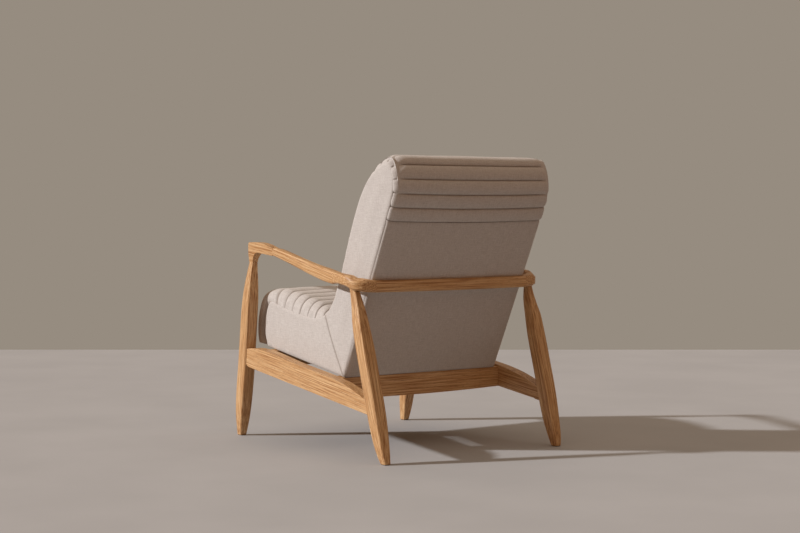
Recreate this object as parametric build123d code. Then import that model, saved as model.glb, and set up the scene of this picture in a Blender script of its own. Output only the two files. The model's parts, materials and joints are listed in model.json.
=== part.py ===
from build123d import *
from math import cos, radians, sin
import os

# A low lounge armchair: an oak frame that carries one upholstered shell.
# X runs across the chair with the sitter's left at +X, the chair faces -Y and Z is up.
# Lengths are millimetres and angles are degrees.

# Upholstered shell, seen from the side
shell_width = 552.0
seat_length = 415.0
seat_thickness = 140.0
seat_angle = 8.6
back_length = 661.0
back_thickness = 150.0
back_angle = 25.4
heel_height = 213.0
heel_setback = 241.7

# Padding and fabric
seat_crown = 50.0
back_crown = 26.0
crease_crown = 20.0
roll_radius = 40.0
channel_pitch = 41.0
channel_rise = 6.0
plain_front_length = 196.0
rear_channel_length = 169.0
quilt_root = 16.0
hem_thickness = 3.0
side_cover_thickness = 10.0
side_cover_edge = 3.0
rear_cover_thickness = 8.0
cloth_thickness = 1.0
felt_thickness = 2.0
upper_pad_thickness = 20.0
soft_gap = 0.3

# Hidden shell carcase
panel_thickness = 18.0
panel_inset = 12.0
spring_deck_height = 75.0
base_board_length = 76.0
base_board_margin = 14.0
front_board_setback = 8.0
rear_spring_board_place = 60.0
webbing_depth = 85.0
back_board_height = 42.0
lower_back_board_place = 96.0
middle_back_board_drop = 361.0
top_back_board_drop = 95.0
backing_thickness = 3.0
spring_wire_diameter = 3.8
spring_count = 5
spring_half_width = 20.0
spring_bar_count = 14
spring_bend_radius = 9.0
spring_row_width = 360.0
clip_length = 14.0
clip_width = 24.0
clip_height = 6.0
strap_count = 5
strap_width = 50.0
strap_thickness = 2.0
strap_margin = 2.0
strap_row_width = 380.0

# Oak legs and rails
base_overhang = 331.4
frame_gap = 14.0
side_rail_thickness = 18.0
side_rail_height = 70.0
side_rail_front_height = 211.5
side_rail_rear_height = 124.0
side_rail_nose = 24.0
side_rail_nose_rise = 7.0
front_leg_width = 38.0
front_leg_depth = 44.0
front_leg_height = 530.0
front_leg_rake = 62.5
rear_leg_width = 39.0
rear_leg_depth = 44.5
rear_leg_top_drop = 38.5
rear_leg_rake = 134.7
leg_standout = 20.5
cross_rail_thickness = 28.0
front_cross_rail_depth = 44.0
rear_cross_rail_depth = 60.0
cross_rail_bow = 5.0
front_cross_rail_inset = 49.0
rear_cross_rail_setback = 3.5

# Arms and back rail
arm_width = 25.0
arm_depth = 21.5
elbow_height = 58.0
arm_front_lip = 3.5
arm_shoulder_drop = 15.5
arm_fall = 66.0
arm_splay = 14.5
arm_outer_inset = 15.5
arm_length = 337.0
elbow_length = 135.0
elbow_bend_radius = 28.0
elbow_corner = 9.0
elbow_flare = 30.0
corner_bend_radius = 18.0
corner_bulge = 5.0
corner_width = 28.0
back_rail_length = 538.0
back_rail_width = 28.0
back_rail_depth = 31.0
back_rail_drop = 32.5
back_rail_setback = 105.7
back_rail_sag = 1.5
back_rail_gap = 0.6
arm_round = 5.0

# Fasteners and feet
dowel_diameter = 8.0
dowel_length = 36.0
rail_dowel_diameter = 10.0
rail_dowel_length = 50.0
rail_dowel_spacing = 26.0
cross_dowel_spacing = 22.0
cross_dowel_length = 30.0
cross_dowel_depth = 11.0
tongue_width = 12.0
tongue_height = 8.0
tongue_length = 30.0
fit_gap = 0.1
quarter_turn = 90.0
bolt_diameter = 6.0
bolt_head_diameter = 12.0
bolt_head_height = 3.5
bolt_spacing = 400.0
bolt_forward_offset = 3.0
washer_diameter = 16.0
washer_thickness = 1.5
counterbore_diameter = 18.0
counterbore_depth = 8.0
tee_nut_diameter = 16.0
tee_nut_flange = 1.5
tee_nut_barrel_diameter = 8.0
tee_nut_barrel_length = 9.0
tee_nut_sink = 3.0
carcase_screw_diameter = 4.0
carcase_screw_head_diameter = 8.0
carcase_screw_head_height = 3.0
carcase_screw_length = 40.0
glide_thickness = 2.0
glide_share = 0.8

# The shell's side outline from the front hem over the seat to the crease:
# first how far forward of the seat in crowns and how high in seat thicknesses,
# then how far forward in seat lengths and how high in seat thicknesses.
seat_front_shares = [(0.0, 0.0), (0.48, 0.28), (0.6, 0.47), (0.46, 0.76), (0.2, 0.97)]
seat_top_shares = [(0.908, 1.007), (0.706, 0.975), (0.506, 0.985)]
crease_share = 1.05
# The same outline from the crease up the back, over the top and down to the rear face:
# how high in back lengths and how deep in back thicknesses.
back_outline_shares = [(0.235, 0.95), (0.4, 0.93), (0.54, 0.975), (0.68, 0.993),
                       (0.77, 0.968), (0.85, 0.892), (0.92, 0.76), (0.968, 0.61),
                       (0.99, 0.46), (0.972, 0.28), (0.927, 0.1), (0.865, 0.0)]
# How far the padding stands out of that outline, from the front hem to the crease:
# place, reach forward and reach up, the reaches in seat crowns.
seat_swell_shares = [(0.0, 1.24, 0.0), (0.106, 0.98, -0.04), (0.16, 0.94, 0.06),
                     (0.25, 0.92, 0.34), (0.32, 0.78, 0.52), (0.425, 0.3, 0.8),
                     (0.6, 0.03, 0.92), (0.8, 0.0, 0.8)]
# The same for the back from the crease to the rear panel: place and crown.
back_swell_shares = [(0.12, 0.95), (0.3, 1.0), (0.5, 0.75), (0.62, 0.4), (0.72, 0.1),
                     (0.8, 0.04), (1.0, 0.04)]
# Angles of the rolled edge, from the flat crown out to the side seam, and the crown's
# last rise towards the middle of the chair.
roll_angles = [0.0, 24.0, 44.0, 62.0, 78.0, 87.0]
middle_crown_shares = [(0.0, 1.07), (0.5, 1.05)]
seam_rise_share = 0.35

# Legs: height, width, depth, lean and inset from the outer face, each as a share.
front_leg_shares = [(0.0, 0.54, 0.5, 0.0, 0.27), (0.1, 0.84, 0.77, 0.12, 0.095),
                    (0.21, 0.98, 0.94, 0.245, 0.02), (0.32, 1.0, 1.0, 0.37, 0.02),
                    (0.477, 0.995, 0.995, 0.522, 0.045), (0.623, 0.99, 0.98, 0.65, 0.053),
                    (0.755, 0.97, 0.94, 0.77, 0.08), (0.849, 0.86, 0.82, 0.855, 0.165),
                    (0.925, 0.68, 0.64, 0.925, 0.29), (1.0, 0.485, 0.45, 1.0, 0.437)]
rear_leg_shares = [(0.0, 0.48, 0.52, 0.0, 0.35), (0.111, 0.78, 0.84, 0.117, 0.15),
                   (0.252, 0.95, 0.98, 0.255, 0.06), (0.395, 1.0, 1.0, 0.391, 0.015),
                   (0.519, 1.0, 0.99, 0.52, 0.005), (0.632, 0.99, 1.0, 0.636, 0.0),
                   (0.731, 0.93, 0.97, 0.74, 0.01), (0.831, 0.82, 0.87, 0.837, 0.05),
                   (0.932, 0.6, 0.68, 0.934, 0.105), (1.0, 0.41, 0.53, 1.0, 0.103),
                   (1.03, 0.37, 0.48, 1.03, 0.115)]
leg_round_share = 0.16
# Elbow's top corner: how far below the top its round ends, in corner sizes.
elbow_top_share = 0.2
# Side rail: place along the rail and height of its top edge, and the middle of its nose.
side_rail_top_shares = [(0.0, 0.79), (0.05, 0.91), (0.12, 0.995), (0.433, 0.975),
                        (0.831, 0.905), (0.94, 0.73), (1.0, 0.59)]
nose_middle_shares = (0.4, 0.22)
# Arm from the elbow to the curved corner: place, fall, width and depth.
arm_shares = [(0.0, 0.0, 1.0, 1.0), (0.37, 0.42, 1.0, 0.99), (0.64, 0.735, 1.01, 1.03),
              (0.86, 0.92, 1.03, 1.17), (1.0, 1.0, 1.04, 1.27)]
# Curved corner: place along it and drop of its middle line towards the back rail.
corner_drop_shares = [(0.45, 0.33), (0.85, 0.8)]

half_shell = shell_width / 2
foot_spacing = seat_length + base_overhang
rear_plain_length = back_length - rear_channel_length
top_back_board_place = back_length - top_back_board_drop
middle_back_board_place = back_length - middle_back_board_drop
arm_top = front_leg_height + elbow_height
arm_end_top = arm_top - arm_shoulder_drop - arm_fall
rear_leg_height = arm_end_top - rear_leg_top_drop
back_rail_height = arm_end_top - back_rail_drop
panel_outer = half_shell - side_cover_thickness
panel_inner = panel_outer - panel_thickness
rail_inner = half_shell + frame_gap
rail_outer = rail_inner + side_rail_thickness
leg_outer = rail_outer + leg_standout
front_foot = -foot_spacing / 2
rear_foot = foot_spacing / 2
overrun = foot_spacing

# Directions in the side view, as (Y, Z) pairs held in the first two places of a vector
heel = Vector(rear_foot - heel_setback, heel_height)
seat_fore = Vector(-cos(radians(seat_angle)), sin(radians(seat_angle)))
seat_up = Vector(sin(radians(seat_angle)), cos(radians(seat_angle)))
back_up = Vector(sin(radians(back_angle)), cos(radians(back_angle)))
back_fore = Vector(-cos(radians(back_angle)), sin(radians(back_angle)))


def seat_point(forward, up):
    return heel + seat_fore * forward + seat_up * up


def back_point(up, forward):
    return heel + back_up * up + back_fore * forward


def meeting_point(depth, height):
    # Where a line at this depth of the back crosses a line at this height of the seat
    forward = (depth - height * seat_up.dot(back_fore)) / seat_fore.dot(back_fore)
    return seat_point(forward, height)


def outward(direction):
    # Square to a direction of travel that keeps the shell on its right
    return Vector(-direction.Y, direction.X)


def in_space(point, x=0.0):
    return Vector(x, point.X, point.Y)


def mirrored(shape):
    return mirror(shape, about=Plane.YZ)


def both_sides(shapes):
    return shapes + [mirrored(shape) for shape in shapes]


# Work planes: X of each runs along the seat or up the back, Y goes through its thickness
seat_frame = Plane(origin=in_space(heel), x_dir=in_space(seat_fore), z_dir=(-1, 0, 0))
back_frame = Plane(origin=in_space(heel), x_dir=in_space(back_up), z_dir=(1, 0, 0))


def slab(frame, along, across, half_width):
    # A block between two places along a frame and two places through it
    size = Box(along[1] - along[0], across[1] - across[0], 2 * half_width)
    return frame * Pos((along[0] + along[1]) / 2, (across[0] + across[1]) / 2, 0) * size


def side_extrusion(face, x_from, thickness):
    return extrude(Plane.YZ.offset(x_from) * face, amount=thickness, dir=(1, 0, 0))


def inset(points, amount):
    # Move the inner points of an outline in, square to the line through their neighbours
    moved = list(points)
    for i in range(1, len(points) - 1):
        travel = (points[i + 1] - points[i - 1]).normalized()
        moved[i] = points[i] - outward(travel) * amount
    return moved


crease_height = crease_share * seat_thickness
seat_outline = [seat_point(seat_length + f * seat_crown, h * seat_thickness)
                for f, h in seat_front_shares]
seat_outline += [seat_point(f * seat_length, h * seat_thickness) for f, h in seat_top_shares]
seat_outline += [meeting_point(back_thickness, crease_height)]
back_outline = [meeting_point(back_thickness, crease_height)]
back_outline += [back_point(u * back_length, d * back_thickness) for u, d in back_outline_shares]


def seat_curve(edge=0.0, bottom=0.0):
    points = inset(seat_outline, edge)
    points[0] = seat_point(seat_length - edge, bottom)
    points[-1] = meeting_point(back_thickness - edge, crease_height - edge)
    return Spline(*points)


def back_curve(edge=0.0):
    points = inset(back_outline, edge)
    points[0] = meeting_point(back_thickness - edge, crease_height - edge)
    points[-1] = back_point(back_outline_shares[-1][0] * back_length, edge)
    start = (points[1] - points[0]).normalized()
    return Spline(*points, tangents=[start, back_up * -1])


def shell_face(edge=0.0, bottom=0.0):
    # The L-shaped side of the shell, drawn in from its edges
    seat_edge = seat_curve(edge, bottom)
    back_edge = back_curve(edge)
    corner = meeting_point(edge, bottom)
    rear_edge = Line(back_edge @ 1, corner)
    bottom_edge = Line(corner, seat_edge @ 0)
    return make_face([seat_edge, back_edge, rear_edge, bottom_edge])


def share_at(table, place):
    # Straight-line reading of a table whose rows start with a place
    for low, high in zip(table, table[1:]):
        if place <= high[0]:
            t = (place - low[0]) / (high[0] - low[0])
            return [a + (b - a) * t for a, b in zip(low[1:], high[1:])]
    return list(table[-1][1:])


def width_stations():
    # Half-width places with their share of the crown and of the channel's rise
    flat = half_shell - roll_radius
    stations = [(flat * place, crown, 1.0) for place, crown in middle_crown_shares]
    for angle in roll_angles:
        height = cos(radians(angle))
        place = flat + roll_radius * sin(radians(angle))
        stations.append((place, height, seam_rise_share + (1 - seam_rise_share) * height))
    return [(-x, c, r) for x, c, r in reversed(stations[1:])] + stations


def seat_skin_point(curve, place, crown):
    # A point of the padded seat: place runs from the front hem to the crease
    length = curve.length
    base = curve.position_at(place, position_mode=PositionMode.LENGTH)
    table = seat_swell_shares + [(1.0, 0.0, crease_crown / seat_crown)]
    fore, up = share_at(table, place / length)
    return base + (seat_fore * fore + seat_up * up) * (crown * seat_crown)


def rib_top(start, end, rise):
    # The middle of a rib between two stitch lines, as high as its width allows
    chord = end - start
    height = channel_rise * rise * chord.length / channel_pitch
    return (start + end) / 2 + outward(chord.normalized()) * height


def seat_cover_section(curve, x, crown, rise):
    length = curve.length
    crease_out = crown * crease_crown
    places = [plain_front_length * i / 4 for i in range(4)]
    grooves = int((length - plain_front_length) / channel_pitch - 1 / 2)
    places += [plain_front_length + channel_pitch * i for i in range(grooves + 1)]
    points = [seat_skin_point(curve, place, crown) for place in places]
    crease_end = meeting_point(back_thickness + crease_out, crease_height + crease_out)
    points.append(crease_end + seat_fore * soft_gap)
    places.append(length)
    edges = []
    for i in range(len(points) - 1):
        middle = (places[i] + places[i + 1]) / 2
        bulge = seat_skin_point(curve, middle, crown)
        if places[i] >= plain_front_length:
            bulge = rib_top(points[i], points[i + 1], rise)
        edges.append(ThreePointArc(in_space(points[i], x), in_space(bulge, x),
                                   in_space(points[i + 1], x)))
    root = [meeting_point(back_thickness - quilt_root, crease_height - quilt_root)
            + seat_fore * soft_gap,
            seat_point(seat_length - quilt_root, seat_thickness - 2 * quilt_root),
            seat_point(seat_length - quilt_root, 0)]
    corners = [points[-1]] + root + [points[0]]
    edges += [Line(in_space(a, x), in_space(b, x)) for a, b in zip(corners, corners[1:])]
    return Wire(edges)


def back_skin_point(line, place, total, crown):
    # A point of the padded back: place runs from the crease over the top to the rear panel
    curve, curve_length = line
    table = [(0.0, crease_crown / back_crown)] + back_swell_shares
    swell = share_at(table, place / total)[0] * crown * back_crown
    if place <= curve_length:
        base = curve.position_at(place, position_mode=PositionMode.LENGTH)
        travel = curve.tangent_at(place, position_mode=PositionMode.LENGTH)
        return base + outward(travel) * swell
    base = curve @ 1 - back_up * (place - curve_length)
    return base - back_fore * swell


def back_cover_section(line, x, crown, rise):
    curve, curve_length = line
    total = curve_length + back_outline_shares[-1][0] * back_length - rear_plain_length
    count = int(total / channel_pitch - 1 / 2)
    places = [total - channel_pitch * i for i in range(count + 1)][::-1]
    crease_out = crown * crease_crown
    start = meeting_point(back_thickness + crease_out, crease_height + crease_out)
    points = [start + back_up * soft_gap]
    points += [back_skin_point(line, place, total, crown) for place in places]
    edges = []
    for i in range(len(points) - 1):
        bulge = rib_top(points[i], points[i + 1], rise)
        edges.append(ThreePointArc(in_space(points[i], x), in_space(bulge, x),
                                   in_space(points[i + 1], x)))
    root = [back_point(rear_plain_length, quilt_root),
            back_point(top_back_board_place, 2 * quilt_root),
            back_point(top_back_board_place, back_thickness - 3 * quilt_root),
            meeting_point(back_thickness - quilt_root, crease_height - quilt_root)
            + back_up * soft_gap]
    corners = [points[-1]] + root + [points[0]]
    edges += [Line(in_space(a, x), in_space(b, x)) for a, b in zip(corners, corners[1:])]
    return Wire(edges)


def channelled_cover(section):
    wires = [section(x, crown, rise) for x, crown, rise in width_stations()]
    skin = Solid.make_loft(wires, ruled=True)
    core = side_extrusion(shell_face(hem_thickness), -shell_width, 2 * shell_width)
    return skin - core


def make_seat_cover():
    curve = seat_curve()
    return channelled_cover(lambda x, c, r: seat_cover_section(curve, x, c, r))


def make_back_cover():
    curve = back_curve()
    line = (curve, curve.length)
    return channelled_cover(lambda x, c, r: back_cover_section(line, x, c, r))


def make_side_cover():
    face = shell_face(hem_thickness + soft_gap)
    cover = side_extrusion(face, panel_outer + soft_gap, side_cover_thickness - soft_gap)
    outer_edges = cover.faces().sort_by(Axis.X)[-1].edges()
    return chamfer(outer_edges, side_cover_edge)


def make_rear_cover():
    length = (soft_gap, rear_plain_length - soft_gap)
    return slab(back_frame, length, (0.0, rear_cover_thickness), panel_outer - soft_gap)


def make_backing():
    low = rear_cover_thickness + soft_gap
    return slab(back_frame, (panel_inset, rear_plain_length - soft_gap),
                (low, low + backing_thickness), panel_outer - soft_gap)


# Boards between the two side panels: frame, places along it and places through it
carcase_bottom = cloth_thickness + soft_gap
base_board_top = carcase_bottom + panel_thickness
front_board_end = seat_length - front_board_setback
web_back = webbing_depth - panel_thickness
carcase_boards = {
    "front_base_board": (seat_frame,
                         (front_board_end - base_board_length, front_board_end),
                         (carcase_bottom, base_board_top)),
    "rear_base_board": (seat_frame, (base_board_margin, base_board_margin + base_board_length),
                        (carcase_bottom, base_board_top)),
    "front_spring_board": (seat_frame, (front_board_end - panel_thickness, front_board_end),
                           (base_board_top, spring_deck_height)),
    "rear_spring_board": (seat_frame,
                          (rear_spring_board_place, rear_spring_board_place + panel_thickness),
                          (base_board_top, spring_deck_height)),
    "lower_back_board": (back_frame,
                         (lower_back_board_place, lower_back_board_place + back_board_height),
                         (web_back, webbing_depth)),
    "middle_back_board": (back_frame,
                          (middle_back_board_place, middle_back_board_place + back_board_height),
                          (panel_inset, panel_inset + panel_thickness)),
    "top_back_board": (back_frame,
                       (top_back_board_place, top_back_board_place + back_board_height),
                       (web_back, webbing_depth)),
}


def screw_places():
    # Two screws near the ends of each board's longer side, on its middle line
    places = []
    for frame, along, across in carcase_boards.values():
        middle = ((along[0] + along[1]) / 2, (across[0] + across[1]) / 2)
        reach = max(along[1] - along[0], across[1] - across[0]) / 2 - carcase_screw_head_diameter
        step = (reach, 0.0) if along[1] - along[0] > across[1] - across[0] else (0.0, reach)
        for sign in (-1, 1):
            places.append((frame, middle[0] + sign * step[0], middle[1] + sign * step[1]))
    return places


def carcase_screw(frame, along, across, gap=0.0):
    # A countersunk screw that enters a side panel from outside, on the sitter's left
    inward = -1 if frame is back_frame else 1
    start = frame * Pos(along, across, -inward * panel_outer)
    shank = Cylinder(carcase_screw_diameter / 2 + gap, carcase_screw_length + gap)
    head = Cylinder(carcase_screw_head_diameter / 2 + gap, carcase_screw_head_height)
    shank_place = Pos(0, 0, inward * (carcase_screw_length + gap) / 2)
    head_place = Pos(0, 0, inward * carcase_screw_head_height / 2)
    return start * shank_place * shank + start * head_place * head


def make_carcase():
    screws = [carcase_screw(*place) for place in screw_places()]
    holes = [carcase_screw(*place, gap=fit_gap) for place in screw_places()]
    holes_both = both_sides(holes)
    panel = side_extrusion(shell_face(panel_inset, carcase_bottom), panel_inner, panel_thickness)
    panel = panel - holes
    boards = {}
    for name, (frame, along, across) in carcase_boards.items():
        boards[name] = slab(frame, along, across, panel_inner) - holes_both
    return panel, boards, both_sides(screws)


spring_line = spring_deck_height + clip_height / 2
spring_rear = rear_spring_board_place + panel_thickness / 2
spring_front = front_board_end - panel_thickness / 2
spring_places = [spring_row_width * (i / (spring_count - 1) - 1 / 2) for i in range(spring_count)]


def make_springs():
    # A zigzag spring lies in the seat's plane and runs from the rear board to the front one
    pitch = (spring_front - spring_rear) / spring_bar_count
    points = []
    for i in range(spring_bar_count + 1):
        side = 1 if i % 2 else -1
        points.append((spring_rear + pitch * i, side * spring_half_width))
        points.append((spring_rear + pitch * i, -side * spring_half_width))
    deck = Plane(origin=in_space(seat_point(0, spring_line)), x_dir=in_space(seat_fore),
                 z_dir=in_space(seat_up))
    path = deck * FilletPolyline(*points, radius=spring_bend_radius)
    section = (path ^ 0) * Circle(spring_wire_diameter / 2)
    spring = sweep(section, path=path)
    return [Pos(x, 0, 0) * spring for x in spring_places]


def make_clips():
    clips = []
    for along in (spring_rear, spring_front):
        block = slab(seat_frame, (along - clip_length / 2, along + clip_length / 2),
                     (spring_deck_height, spring_deck_height + clip_height), clip_width / 2)
        channel = seat_frame * Pos(along, spring_line, 0) * Cylinder(
            spring_wire_diameter / 2 + fit_gap, shell_width)
        clips += [Pos(x, 0, 0) * (block - channel) for x in spring_places]
    return clips


deck_cloth_low = spring_deck_height + clip_height + soft_gap
deck_cloth_high = deck_cloth_low + felt_thickness
foam_low = deck_cloth_high + soft_gap
foam_half_width = panel_inner - soft_gap
web_front = webbing_depth + strap_thickness


def make_deck_cloth():
    return slab(seat_frame, (spring_rear, front_board_end), (deck_cloth_low, deck_cloth_high),
                foam_half_width)


def make_straps():
    low = lower_back_board_place + strap_margin
    high = top_back_board_place + back_board_height - strap_margin
    strap = slab(back_frame, (low, high), (webbing_depth, web_front), strap_width / 2)
    step = strap_row_width / (strap_count - 1)
    return [Pos(step * i - strap_row_width / 2, 0, 0) * strap for i in range(strap_count)]


def make_foams():
    core = side_extrusion(shell_face(hem_thickness + soft_gap), -foam_half_width,
                          2 * foam_half_width)
    seat_top = crease_height - hem_thickness - soft_gap
    in_front_of_straps = slab(back_frame, (-overrun, overrun),
                              (web_front + soft_gap, overrun), shell_width)
    seat = slab(seat_frame, (-overrun, overrun), (foam_low, seat_top), shell_width)
    back = slab(seat_frame, (-overrun, overrun), (seat_top + soft_gap, 2 * overrun), shell_width)
    front = slab(seat_frame, (front_board_end + soft_gap, overrun),
                 (carcase_bottom, foam_low - soft_gap), shell_width)
    board_end = top_back_board_place + back_board_height
    upper = slab(back_frame, (rear_plain_length + soft_gap, overrun),
                 (-overrun, webbing_depth - soft_gap), shell_width)
    upper -= slab(back_frame, (-overrun, board_end + soft_gap),
                  (upper_pad_thickness, overrun), shell_width)
    return (core & seat & in_front_of_straps, core & back & in_front_of_straps,
            core & front, core & upper)


def make_dust_cloth():
    return slab(seat_frame, (panel_inset, seat_length - panel_inset), (0.0, cloth_thickness),
                panel_outer - soft_gap)


def leg_section(x, y, z, width, depth):
    corner = leg_round_share * min(width, depth)
    return Pos(x, y, z) * RectangleRounded(width, depth, corner)


def leg_place(shares, size, place):
    # Middle of a leg's section at a share of its height, with the section's width and depth
    height, width, depth, foot, rake = size
    wide, deep, lean, inset_share = share_at(shares, place)
    x = leg_outer - inset_share * width - wide * width / 2
    return x, foot + lean * rake, wide * width, deep * depth


front_leg_size = (front_leg_height, front_leg_width, front_leg_depth, front_foot,
                  front_leg_rake)
rear_leg_size = (rear_leg_height, rear_leg_width, rear_leg_depth, rear_foot, -rear_leg_rake)


def make_leg(shares, size):
    sections = []
    for place, *rest in shares:
        x, y, width, depth = leg_place(shares, size, place)
        sections.append(leg_section(x, y, max(place * size[0], glide_thickness), width, depth))
    return loft(sections)


def make_glides():
    glides = []
    for shares, size in ((front_leg_shares, front_leg_size), (rear_leg_shares, rear_leg_size)):
        x, y, width, depth = leg_place(shares, size, 0.0)
        pad = Box(glide_share * width, glide_share * depth, glide_thickness)
        glides.append(Pos(x, y, glide_thickness / 2) * pad)
    return both_sides(glides)


# Arm places that follow from the front leg's neck
neck_x, neck_y, neck_width, neck_depth = leg_place(front_leg_shares, front_leg_size, 1.0)
arm_front = neck_y - neck_depth / 2 - arm_front_lip
arm_start = arm_front + elbow_length
arm_start_top = arm_top - arm_shoulder_drop
arm_x = leg_outer - arm_outer_inset - arm_width / 2


def make_elbow():
    # The side view turns from the leg's neck into the arm
    front, rear = neck_y - neck_depth / 2, neck_y + neck_depth / 2
    under = arm_start_top - arm_depth
    bend_top = under + (arm_top - arm_start_top) / 2
    bend_height = bend_top - elbow_bend_radius
    bend_middle = Vector(rear + elbow_bend_radius * (1 - cos(radians(45))),
                         bend_height + elbow_bend_radius * sin(radians(45)))
    corner_low = arm_top - elbow_corner
    corner_end = Vector(arm_front + elbow_corner, arm_top - elbow_top_share * elbow_corner)
    corner_middle = Vector(arm_front + elbow_corner * (1 - cos(radians(45))),
                           corner_low + (corner_end.Y - corner_low) * sin(radians(45)))
    outline = [
        Line((rear, front_leg_height), (front, front_leg_height)),
        Spline((front, front_leg_height), (arm_front, front_leg_height + elbow_flare),
               (arm_front, corner_low)),
        ThreePointArc((arm_front, corner_low), corner_middle, corner_end),
        Spline(corner_end, (arm_front + elbow_length / 4, arm_top), (arm_start, arm_start_top)),
        Line((arm_start, arm_start_top), (arm_start, under)),
        Line((arm_start, under), (rear + elbow_bend_radius, bend_top)),
        ThreePointArc((rear + elbow_bend_radius, bend_top), bend_middle, (rear, bend_height)),
        Line((rear, bend_height), (rear, front_leg_height)),
    ]
    side = side_extrusion(make_face(outline), 0, 2 * leg_outer)
    left, right = neck_x - neck_width / 2, neck_x + neck_width / 2
    inner, outer = arm_x - arm_width / 2, arm_x + arm_width / 2
    wide = front_leg_height + elbow_flare
    front_view = [
        Line((left, front_leg_height), (right, front_leg_height)),
        Spline((right, front_leg_height), (outer, wide), tangents=[(0, 1), (0, 1)]),
        Line((outer, wide), (outer, arm_top)),
        Line((outer, arm_top), (inner, arm_top)),
        Line((inner, arm_top), (inner, wide)),
        Spline((inner, wide), (left, front_leg_height), tangents=[(0, -1), (0, -1)]),
    ]
    width_shape = extrude(Plane.XZ * make_face(front_view), amount=overrun, both=True)
    return side & width_shape


def upright_section(x, y, z, width, depth, corner, travel):
    # A rounded section square to a level direction of travel
    across = Vector(travel.Y, -travel.X)
    plane = Plane(origin=(x, y, z), x_dir=(across.X, across.Y, 0), z_dir=(travel.X, travel.Y, 0))
    return plane * RectangleRounded(width, depth, corner)


def make_arm():
    sections = []
    for along, fall, wide, deep in arm_shares:
        depth = deep * arm_depth
        top = arm_start_top - fall * arm_fall
        sections.append(upright_section(
            arm_x + along * arm_splay, arm_start + along * arm_length, top - depth / 2,
            wide * arm_width, depth, arm_round, Vector(0, 1)))
    return loft(sections)


arm_end = arm_start + arm_length
arm_end_x = arm_x + arm_splay
arm_end_width = arm_shares[-1][2] * arm_width
arm_end_depth = arm_shares[-1][3] * arm_depth
arm_end_z = arm_end_top - arm_end_depth / 2
last_fall = arm_fall * (1 - arm_shares[-2][1])
last_growth = arm_depth * (arm_shares[-1][3] - arm_shares[-2][3])
arm_end_slope = (last_fall + last_growth / 2) / (arm_length * (1 - arm_shares[-2][0]))
back_rail_y = rear_foot - back_rail_setback
bend_x = arm_end_x + corner_bulge - corner_bend_radius
bend_y = back_rail_y - corner_bend_radius


def rail_clearance():
    # The space of the shell's leaning back, which the rail and the corners stay behind
    return slab(back_frame, (-overrun, overrun), (-back_rail_gap, overrun),
                half_shell + back_rail_gap)


def make_corner():
    # From the arm's end round the shell's rear corner to the back rail: its plan, its side
    # view, and the rounded edges of both
    outer, inner = corner_bend_radius + corner_width / 2, corner_bend_radius - corner_width / 2
    end_x = back_rail_length / 2
    half_turn = cos(radians(45))
    rear_line, front_line = bend_y + outer, bend_y + inner
    leaving = (arm_splay, arm_length)
    plan = [
        Spline((arm_end_x + arm_end_width / 2, arm_end), (bend_x + outer, bend_y),
               tangents=[leaving, (0, 1)]),
        ThreePointArc((bend_x + outer, bend_y),
                      (bend_x + outer * half_turn, bend_y + outer * half_turn),
                      (bend_x, rear_line)),
        Line((bend_x, rear_line), (end_x, rear_line)),
        Line((end_x, rear_line), (end_x, front_line)),
        Line((end_x, front_line), (bend_x, front_line)),
        ThreePointArc((bend_x, front_line),
                      (bend_x + inner * half_turn, bend_y + inner * half_turn),
                      (bend_x + inner, bend_y)),
        Spline((bend_x + inner, bend_y), (arm_end_x - arm_end_width / 2, arm_end),
               tangents=[(0, -1), (-arm_splay, -arm_length)]),
        Line((arm_end_x - arm_end_width / 2, arm_end), (arm_end_x + arm_end_width / 2, arm_end)),
    ]
    drop = arm_end_z - back_rail_height
    middle_line = [(arm_end, 0.0)]
    middle_line += [(arm_end + place * (front_line - arm_end), share)
                    for place, share in corner_drop_shares]
    middle_line += [(front_line, 1.0)]

    def edge(sign):
        points = [(y, arm_end_z - share * drop + sign / 2 * (
            arm_end_depth + share * (back_rail_depth - arm_end_depth)))
            for y, share in middle_line]
        curve = Spline(*points, tangents=[(arm_length, -arm_end_slope * arm_length), (1, 0)])
        return curve, Line(points[-1], (rear_line, points[-1][1]))

    top, low = edge(1), edge(-1)
    side_view = [*top, Line(top[1] @ 1, low[1] @ 1), *low, Line(low[0] @ 0, top[0] @ 0)]
    side = side_extrusion(make_face(side_view), 0, leg_outer + overrun)
    corner = extrude(make_face(plan), amount=overrun) & side
    ends = [corner.faces().sort_by(Axis.Y)[0], corner.faces().sort_by(Axis.X)[0]]
    end_edges = ends[0].edges() + ends[1].edges()
    long_edges = [edge for edge in corner.edges() if all(
        (edge.center() - other.center()).length > fit_gap for other in end_edges)]
    return fillet(long_edges, arm_round) - rail_clearance()


def make_back_rail():
    sections = [upright_section(side * back_rail_length / 2, back_rail_y,
                                back_rail_height - (1 - abs(side)) * back_rail_sag,
                                back_rail_width, back_rail_depth, arm_round, Vector(-1, 0))
                for side in (1, 0, -1)]
    return loft(sections) - rail_clearance()


front_joint = leg_place(front_leg_shares, front_leg_size,
                        side_rail_front_height / front_leg_height)
rear_joint = leg_place(rear_leg_shares, rear_leg_size, side_rail_rear_height / rear_leg_height)
rail_front_y = front_joint[1] + front_joint[3] / 2
rail_rear_y = rear_joint[1] - rear_joint[3] / 2


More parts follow.
